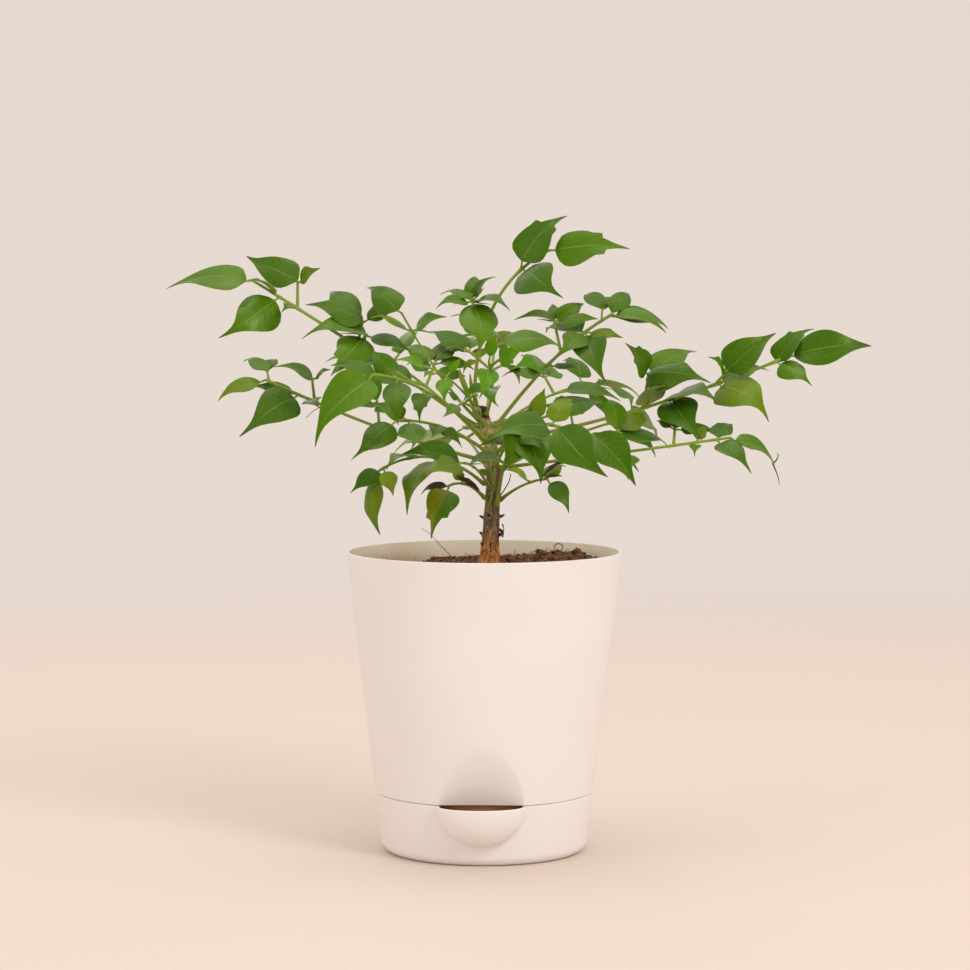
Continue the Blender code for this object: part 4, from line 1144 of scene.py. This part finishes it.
def measuredGrowth(frond, rng):
    curve = frondCurve(frond)
    growth = []
    for place, foot, aims in frond["sprigs"]:
        spot = along(curve, place)
        if foot is None:
            growth += [[aimedLeaf(spot, None, aim, rng)] for aim in aims]
            continue
        end = seen(*foot)
        leaves = [aimedLeaf(spot, end, aims[0], rng)]
        leaves += [aimedLeaf(spot.lerp(end, 0.92), None, aim, rng) for aim in aims[1:]]
        growth.append(leaves)
    return growth + [[aimedLeaf(along(curve, 1.0), None, frond["end"], rng)]]


def facing(axis, roll):
    light = frondRule["light"]
    face = (light - axis * light.dot(axis)).normalized()
    return Matrix.Rotation(math.radians(roll), 3, axis) @ face


def pairedGrowth(frond, rng):
    curve = frondCurve(frond)
    droop = frond["droop"]
    growth = []
    for place, stalk, count, long in frond["pairs"]:
        spot = along(curve, place)
        axis = heading(curve, place)
        face = facing(axis, frond["roll"])
        side = face.cross(axis).normalized()
        for hand in (-1, 1):
            spread = math.radians(frond["spread"] + rng.uniform(-frondRule["spread"], frondRule["spread"]))
            way = axis * math.cos(spread) + side * hand * math.sin(spread)
            way = (way + frondRule["lift"]).normalized()
            if count > 1 and side.z * hand < 0:
                growth.append(pinna(spot, way, face, 0.3 * stalk, 1, 1.15 * long, droop, rng))
            else:
                growth.append(pinna(spot, way, face, stalk, count, long, droop, rng))
    axis = heading(curve, 1.0)
    face = facing(axis, 0.0)
    end = growLeaf(along(curve, 1.0), axis, face, frondRule["petiolule"], frond["end"], droop, rng)
    return growth + [[end]]


def frondGrowth(frond):
    rng = random.Random(frond["seed"])
    return measuredGrowth(frond, rng) if "sprigs" in frond else pairedGrowth(frond, rng)


# Leaf blades: the outlines are modelled once, flat, then every leaf is a copy bent to its place

bladeShape = {
    # places along the blade, from stalk to tip, and the width there in parts of the widest
    "stations": (
        0.0, 0.03, 0.08, 0.14, 0.21, 0.28, 0.36, 0.44, 0.52, 0.59, 0.66, 0.73, 0.80, 0.87, 0.935, 1.0),
    "plain": (
        0.06, 0.34, 0.72, 0.94, 1.02, 1.02, 0.97, 0.88, 0.76, 0.62, 0.46, 0.30, 0.18, 0.105, 0.060, 0.016),
    "round": (
        0.08, 0.48, 0.86, 1.02, 1.06, 1.05, 1.01, 0.94, 0.84, 0.71, 0.54, 0.35, 0.19, 0.10, 0.055, 0.016),
    "slim": (
        0.06, 0.24, 0.48, 0.70, 0.86, 0.96, 1.0, 0.97, 0.88, 0.75, 0.58, 0.41, 0.27, 0.16, 0.085, 0.018),
    "teeth": {  # station, side, how far out
        "toothed": ((9, 1, 0.13), (10, -1, 0.12)), "lobed": ((7, 1, 0.20), (8, -1, 0.18), (10, 1, 0.14)),
    },
    "toothStep": 0.045, "toothBack": 0.35,
    "thick": 0.00038, "flatThick": 0.02, "hookFrom": 0.62, "hookIn": 0.30, "waves": 10.5, "waveShift": 1.7,
    "curlPower": 2.4,
}
leafRanges = {  # drawn for each leaf, in this order
    "wide": (0.46, 0.58), "arch": (0.26, 0.56), "fold": (0.08, 0.50), "curl": (0.10, 0.46),
    "wave": (0.004, 0.016), "phase": (0, 6.2), "hook": (-0.02, 0.13), "sway": (-0.12, 0.12),
    "flick": (-0.08, 0.08), "roll": (-0.30, 0.30),
}
leafKinds = ("plain",) * 4 + ("round",) * 2 + ("slim",) * 3 + ("toothed",)
leafColours = ("deep",) * 3 + ("mid",) * 3 + ("cool",) * 2 + ("warm",)
youngWidth = 0.92


def modelBlade(name):
    # A flat grid, drawn in column by column to the leaf's outline, then given its thickness.
    s = bladeShape
    outline = s[name] if name in s else s["plain"]
    stations = s["stations"]
    last = len(stations) - 1
    aside = 10  # finished columns are set aside, clear of the others
    deselectAll()
    bpy.ops.mesh.primitive_grid_add(x_subdivisions=last, y_subdivisions=4, size=2, location=(0, 0, 0))
    blade = bpy.context.active_object
    data = blade.data
    columns = [round((vert.co.x + 1) / 2 * last) for vert in data.vertices]
    rows = [vert.co.y for vert in data.vertices]
    chart = data.uv_layers.active
    chart.name = "leaf"
    for loop in data.loops:
        chart.data[loop.index].uv = (0.5 + rows[loop.vertex_index] / 2, stations[columns[loop.vertex_index]])
    for index, (place, wide) in enumerate(zip(stations, outline)):
        old = -1 + 2 * index / last
        selectWhere(blade, lambda spot: abs(spot.x - old) < 0.01)
        bpy.ops.transform.resize(value=(1, wide, 1), center_override=(old, 0, 0))
        bpy.ops.transform.translate(value=(place + aside - old, 0, 0))
    bpy.ops.mesh.select_all(action="SELECT")
    bpy.ops.transform.translate(value=(-aside, 0, 0))
    bpy.ops.object.mode_set(mode="OBJECT")
    for column, hand, out in s["teeth"].get(name, ()):
        # a tooth: the edge swells at one station and steps in at the next
        for vert, at, row in zip(data.vertices, columns, rows):
            if row * hand > 0.75 and at == column:
                vert.co.y += hand * out
                vert.co.x += s["toothStep"]
            elif row * hand > 0.75 and at == column + 1:
                vert.co.y -= hand * out * s["toothBack"]
    solid = blade.modifiers.new("thick", "SOLIDIFY")
    solid.thickness = s["flatThick"]
    solid.offset = 0.0
    solid.material_offset = 1
    solid.material_offset_rim = 1
    data.materials.append(leafTops["deep"])
    data.materials.append(leafUnder)
    pickAlone(blade)
    bpy.ops.object.modifier_apply(modifier="thick")
    data = blade.data
    made = {
        "spots": np.array([vert.co for vert in data.vertices]),
        "faces": [tuple(face.vertices) for face in data.polygons],
        "under": [face.material_index for face in data.polygons],
        "chart": np.array([loop.uv for loop in data.uv_layers["leaf"].data]),
    }
    bpy.data.objects.remove(blade)
    return made


blades = {name: modelBlade(name) for name in ("plain", "round", "slim", "toothed", "lobed")}
print("leaf outlines modelled:", len(blades["plain"]["faces"]), "faces each")


def swung(first, second, angle):
    # Two coordinates turned in their plane.
    return (first * math.cos(angle) - second * math.sin(angle),
            first * math.sin(angle) + second * math.cos(angle))


def bentBlade(kind, leaf, shape):
    # The flat outline, folded along the midrib and arched, its tip drawn out and down. It is then
    # turned and sized about its foot, so that its tip lies where the solid leaf's does.
    s = bladeShape
    flat = blades[kind]["spots"]
    long = leaf["long"]
    half = long * shape["wide"] / 2
    part = np.append(np.clip(flat[:, 0], 0, 1), 1.0)
    across = np.append(flat[:, 1], 0.0)
    layer = np.append(np.sign(flat[:, 2]) * s["thick"] / 2, 0.0)
    bow = 2 * shape["arch"]
    turn = bow * part
    end = np.clip((part - s["hookFrom"]) / (1 - s["hookFrom"]), 0, 1)
    side = np.abs(across)
    x = long * np.sin(turn) / bow - long * abs(shape["hook"]) * s["hookIn"] * end ** 2
    z = -long * (1 - np.cos(turn)) / bow - long * shape["hook"] * end ** 2
    y = across * half + long * shape["sway"] * part ** 2 + long * shape["flick"] * end ** 2
    lift = shape["fold"] * side * half - shape["curl"] * side ** s["curlPower"] * half
    ripple = np.sin(s["waves"] * part + shape["phase"] + (across > 0) * s["waveShift"])
    lift += shape["wave"] * long * side ** 2 * ripple
    layer = layer * np.clip((1.04 - part) * 8, 0.35, 1)
    z += lift + layer * np.cos(turn)
    x += layer * np.sin(turn)
    roll = shape["roll"] * part
    y, z = y * np.cos(roll) - z * np.sin(roll), y * np.sin(roll) + z * np.cos(roll)
    x, y = swung(x, y, -math.atan2(y[-1], x[-1]))
    x, z = swung(x, z, -math.atan(frondRule["arch"]) - math.atan2(z[-1], x[-1]))
    spots = np.stack([x, y, z], 1)[:-1] * (long / x[-1])
    matrix = np.array(leaf["frame"])
    return spots @ matrix[:3, :3].T + matrix[:3, 3]


def leafShapes(rng, young):
    shape = {name: rng.uniform(*span) for name, span in leafRanges.items()}
    shape["kind"] = rng.choice(leafKinds)
    shape["colour"] = rng.choice(leafColours)
    shape["wide"] *= youngWidth if young else 1.0
    return shape


def treeOf(name):
    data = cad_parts[name].data
    places = [vert.co for vert in data.vertices]
    return BVHTree.FromPolygons(places, [face.vertices for face in data.polygons])


fitRule = {
    "inside": 0.42, "near": 0.0012, "room": 0.0012, "trials": 14, "half": 0.27,
    "samples": ((0.3, 0), (0.5, 0), (0.75, 0), (1.0, 0), (0.3, 0.8), (0.3, -0.8), (0.55, 0.6), (0.55, -0.6)),
    "shorter": (0.5, 0.8), "turn": 0.9, "tilt": 0.7,
}
solidTrees = {name: treeOf(name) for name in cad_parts}


def onBlade(leaf, part, across=0):
    # A spot on the solid leaf's arched blade.
    long = leaf["long"]
    return leaf["frame"] @ Vector((
        long * part, across * long * fitRule["half"], -frondRule["arch"] * part ** 2 * long))


def inSolid(leaf, name):
    # Whether the solids have this leaf: a spot in its blade lies on their surface.
    return solidTrees[name].find_nearest(onBlade(leaf, fitRule["inside"]))[3] < fitRule["near"]


def clearOf(leaf):
    # Whether sample spots over the blade keep their distance from every solid.
    spots = [onBlade(leaf, part, across) for part, across in fitRule["samples"]]
    return all(
        tree.find_nearest(spot, fitRule["room"])[0] is None for spot in spots for tree in solidTrees.values())


def retried(leaf, rng):
    # A leaf that the solids have no room for grows smaller and turned aside, or not at all.
    for trial in range(fitRule["trials"]):
        turn = Matrix.Rotation(rng.uniform(-fitRule["turn"], fitRule["turn"]), 4, "Z")
        turn = turn @ Matrix.Rotation(rng.uniform(-fitRule["tilt"], fitRule["tilt"]), 4, "Y")
        moved = dict(leaf, long=leaf["long"] * rng.uniform(*fitRule["shorter"]), frame=leaf["frame"] @ turn)
        if clearOf(moved):
            return moved
    return None


leafRegions = {
    "leavesLeft": ("left_high", "left_centre", "low_left", "left_low", "left_long"),
    "leavesRight": ("top", "right_high", "right_long", "right_low", "low_right", "mid_right"),
    "leavesFront": ("front_right", "front_left", "front_mid_left", "front_centre", "front_high", "front_top",
                    "young_left", "young_centre"),
    "leavesBack": ("back_right", "back_right_low", "back_left", "back_centre", "back_low"),
}


def grownLeaves(name):
    # The frond's leaves with the shape of each. A side stalk that has lost its end leaf keeps none.
    frond = fronds[name]
    young = name in youngOnes
    rng = random.Random(frond["seed"] * 7 + 1)
    for row, leaves in enumerate(frondGrowth(frond)):
        stalkKept = False
        for index, leaf in enumerate(leaves):
            shape = leafShapes(rng, young)
            if not inSolid(leaf, f"foliage_{name}"):
                if index and not stalkKept:
                    continue
                leaf = retried(leaf, rng)
                if leaf is None:
                    continue
            stalkKept = stalkKept or index == 0
            odd = oddLeaves.get(name, {}).get((row, index), {})
            if young:
                shape["colour"] = "young"
            shape.update(odd)
            if name in yellowed and not odd and rng.random() < 0.6:
                shape["colour"] = "pale" if rng.random() < 0.4 else "warm"
            yield index, leaf, shape


def makeLeaves(title, names):
    order = list(leafTops)
    spots, faces, marks, charts = [], [], [], []
    count = 0
    for name in names:
        under = len(order) + (1 if name in youngOnes else 0)
        for index, leaf, shape in grownLeaves(name):
            leafStalks.append((index, leaf))
            blade = blades[shape["kind"]]
            spots.append(bentBlade(shape["kind"], leaf, shape))
            faces += [tuple(count + i for i in face) for face in blade["faces"]]
            count += len(blade["spots"])
            top = order.index(shape["colour"])
            marks += [under if low else top for low in blade["under"]]
            charts.append(blade["chart"])
    piece = meshFromArrays(title, np.concatenate(spots), faces, marks, np.concatenate(charts))
    smooth(piece, 60)
    finishes = [*leafTops.values(), leafUnder, youngUnder]
    finishPiece(piece, title, "leaf_green", [f"foliage_{name}" for name in names], *finishes)
    print(title, len(spots), "leaflets")


leafStalks = []
for title, names in leafRegions.items():
    makeLeaves(title, names)


# Stalks

# drawn between places seen in the photo: (px, py, nearness in mm, radius in mm)
scraps = {
    "dead": (
        ((320, 407, 14, 0.16), (313, 411, 15, 0.14), (306, 418, 16, 0.10)),
        ((458, 563, -16, 0.16), (440, 545, -12, 0.13), (430, 534, -10, 0.11), (421, 528, -8, 0.09)),
        ((497, 500, 3, 0.30), (503, 492, 4, 0.26), (509, 482, 5, 0.24), (511, 474, 6, 0.20)),
        ((540, 480, 15, 0.30), (546, 473, 16, 0.30), (552, 467, 17, 0.90), (558, 463, 17, 0.70),
         (566, 463, 18, 0.20)),
        ((773, 464, 18, 0.34), (777, 460, 18, 0.28), (779, 455, 18, 0.20), (777, 453, 18, 0.12)),
        ((773, 463, 18, 0.34), (776, 470, 18, 0.26), (779, 478, 18, 0.18), (780, 485, 18, 0.10)),
        ((545, 479, 16, 0.30), (552, 475, 16, 0.70), (562, 476, 16, 0.20)),
        ((479, 490, 6, 0.30), (474, 485, 8, 0.90), (468, 481, 9, 1.30), (461, 478, 10, 0.80),
         (457, 476, 10, 0.20)),
    ),
    "green": (
        ((487, 512, 3, 0.70), (491, 500, 4, 0.66), (494, 484, 5, 0.60), (495, 468, 7, 0.50)),
        ((478, 414, 1, 0.60), (474, 408, 4, 0.60), (470, 400, 7, 0.80), (466, 389, 9, 1.20),
         (462, 379, 10, 1.20), (459, 369, 11, 0.30)),
        ((480, 414, 1, 0.60), (477, 404, 3, 0.70), (474, 394, 5, 1.00), (471, 384, 6, 0.80),
         (470, 374, 7, 0.30)),
    ),
}


def scrapPaths(kind):
    return [[(seen(*spot[:3]), spot[3] / 1000) for spot in path] for path in scraps[kind]]


stalkShape = {
    "boughRings": 26, "twigRings": 34, "lean": 0.64, "base": 0.32, "baseLong": 0.0024, "node": 0.26,
    "nodeLong": 0.0015, "leaf": 0.00046, "end": 1.25, "side": 0.9, "branched": 0.006, "under": 0.00034,
}


def boughPath(frond, curve, far, length):
    # The part of the stalk that is a bough, swollen where it leaves the trunk.
    s = stalkShape
    path = []
    for i in range(s["boughRings"]):
        part = far * i / (s["boughRings"] - 1)
        swell = s["base"] * math.exp(-(part * length / s["baseLong"]) ** 2)
        path.append((along(curve, part), stalkRadius(frond, part) * s["lean"] * (1 + swell)))
    first, radius = path[0]
    inward = (trunkAt(frond["low"])[0] - first) * 0.45
    return [(first + inward, radius * 0.9)] + path


def twigPath(frond, curve, far, length):
    # The rest of the stalk, with a knot at each sprig.
    s = stalkShape
    path = []
    for i in range(s["twigRings"]):
        part = far + (1 - far) * i / (s["twigRings"] - 1)
        swell = sum(
            s["node"] * math.exp(-((part - sprig[0]) * length / s["nodeLong"]) ** 2)
            for sprig in sprigsOf(frond))
        lean = s["lean"] + (1 - s["lean"]) * (part - far) / (1 - far)
        path.append((along(curve, part), stalkRadius(frond, part) * lean * (1 + swell)))
    return path


def leafStalkPath(index, leaf):
    # The little stalk leaves along its own way, turns into the blade and runs on under it.
    root, base = leaf["root"], leaf["base"]
    turn = leaf["frame"].to_3x3()
    axis, face = turn @ Vector((1, 0, 0)), turn @ Vector((0, 0, 1))
    middle = root + leaf["way"] * (base - root).length * 0.55
    branched = index == 0 and (base - root).length > stalkShape["branched"]
    thick = stalkShape["leaf"] * stalkShape["end" if branched else "side"]
    path = [(along((root, middle, base), i / 7), thick * (1.28 - 0.38 * i / 7)) for i in range(8)]
    for i in range(1, 5):
        run = leaf["long"] * 0.11 * i
        below = stalkShape["under"] + frondRule["arch"] * run ** 2 / leaf["long"]
        path.append((base + axis * run - face * below, thick * (0.80 - 0.16 * i)))
    return path


def makeStalks():
    boughs, twigs = [], []
    for frond in fronds.values():
        curve = frondCurve(frond)
        far = boughEnd(frond)
        length = (curve[2] - curve[0]).length
        boughs.append(boughPath(frond, curve, far, length))
        twigs.append(twigPath(frond, curve, far, length))
    twigs += [leafStalkPath(index, leaf) for index, leaf in leafStalks]
    drawTubes("boughStalks", boughs, 12, "green_stalk", stalkGreen, [f"bough_{name}" for name in fronds])
    drawTubes("leafStalks", twigs + scrapPaths("green"), 8, "leaf_green", twigGreen)
    drawTubes("deadTwigs", scrapPaths("dead"), 8, "bark", spurBrown)


makeStalks()
print("plant ready:", len(leafStalks), "leaflets")


# Floor, light and camera

def makeStudio():
    deselectAll()
    bpy.ops.mesh.primitive_plane_add(size=studio["floorSize"], location=(0, 0, 0))
    floor = bpy.context.active_object
    floor.name = "floor"
    made, place, shader = newFinish("floorFinish")
    dress(shader, baseColor=tone(*studio["floorTone"]), roughness=0.85)
    away = place.node("VectorMath", {"operation": "LENGTH"}, {0: place}, out="Value")
    haze = place.node(
        "Emission", None, {"Color": tone(*studio["worldTone"]), "Strength": studio["worldPower"]})
    clear = ease(away, studio["clearFrom"], studio["clearTo"])
    mixed = clear.node("MixShader", None, {0: clear, 1: Signal(made.node_tree, shader.outputs[0]), 2: haze})
    made.node_tree.links.new(mixed.socket, made.node_tree.nodes["Material Output"].inputs["Surface"])
    floor.data.materials.append(made)
    world = bpy.data.worlds.new("studioAir")
    scene.world = world
    world.use_nodes = True
    air = world.node_tree.nodes["Background"]
    air.inputs["Color"].default_value = tone(*studio["worldTone"])
    air.inputs["Strength"].default_value = studio["worldPower"]
    for name in ("key", "fill", "top", "back"):
        lamp = studio[name]
        light = bpy.data.lights.new(name, "AREA")
        light.shape = "DISK"
        light.size = lamp["size"]
        light.energy = lamp["power"]
        light.color = tone(*lamp["tone"])[:3]
        holder = bpy.data.objects.new(name, light)
        holder.location = lamp["spot"]
        aim = Vector(studio["aim"]) - Vector(lamp["spot"])
        holder.rotation_euler = aim.to_track_quat("-Z", "Y").to_euler()
        scene.collection.objects.link(holder)
    eye = bpy.data.cameras.new("camera")
    eye.lens = camera["lens"]
    eye.sensor_width = 36
    viewer = bpy.data.objects.new("camera", eye)
    viewer.location = (camera["across"], -camera["away"], camera["high"])
    viewer.rotation_euler = (math.radians(90 - camera["down"]), 0, 0)
    scene.collection.objects.link(viewer)
    scene.camera = viewer
    scene.view_settings.view_transform = "Standard"


makeStudio()
print("studio ready")
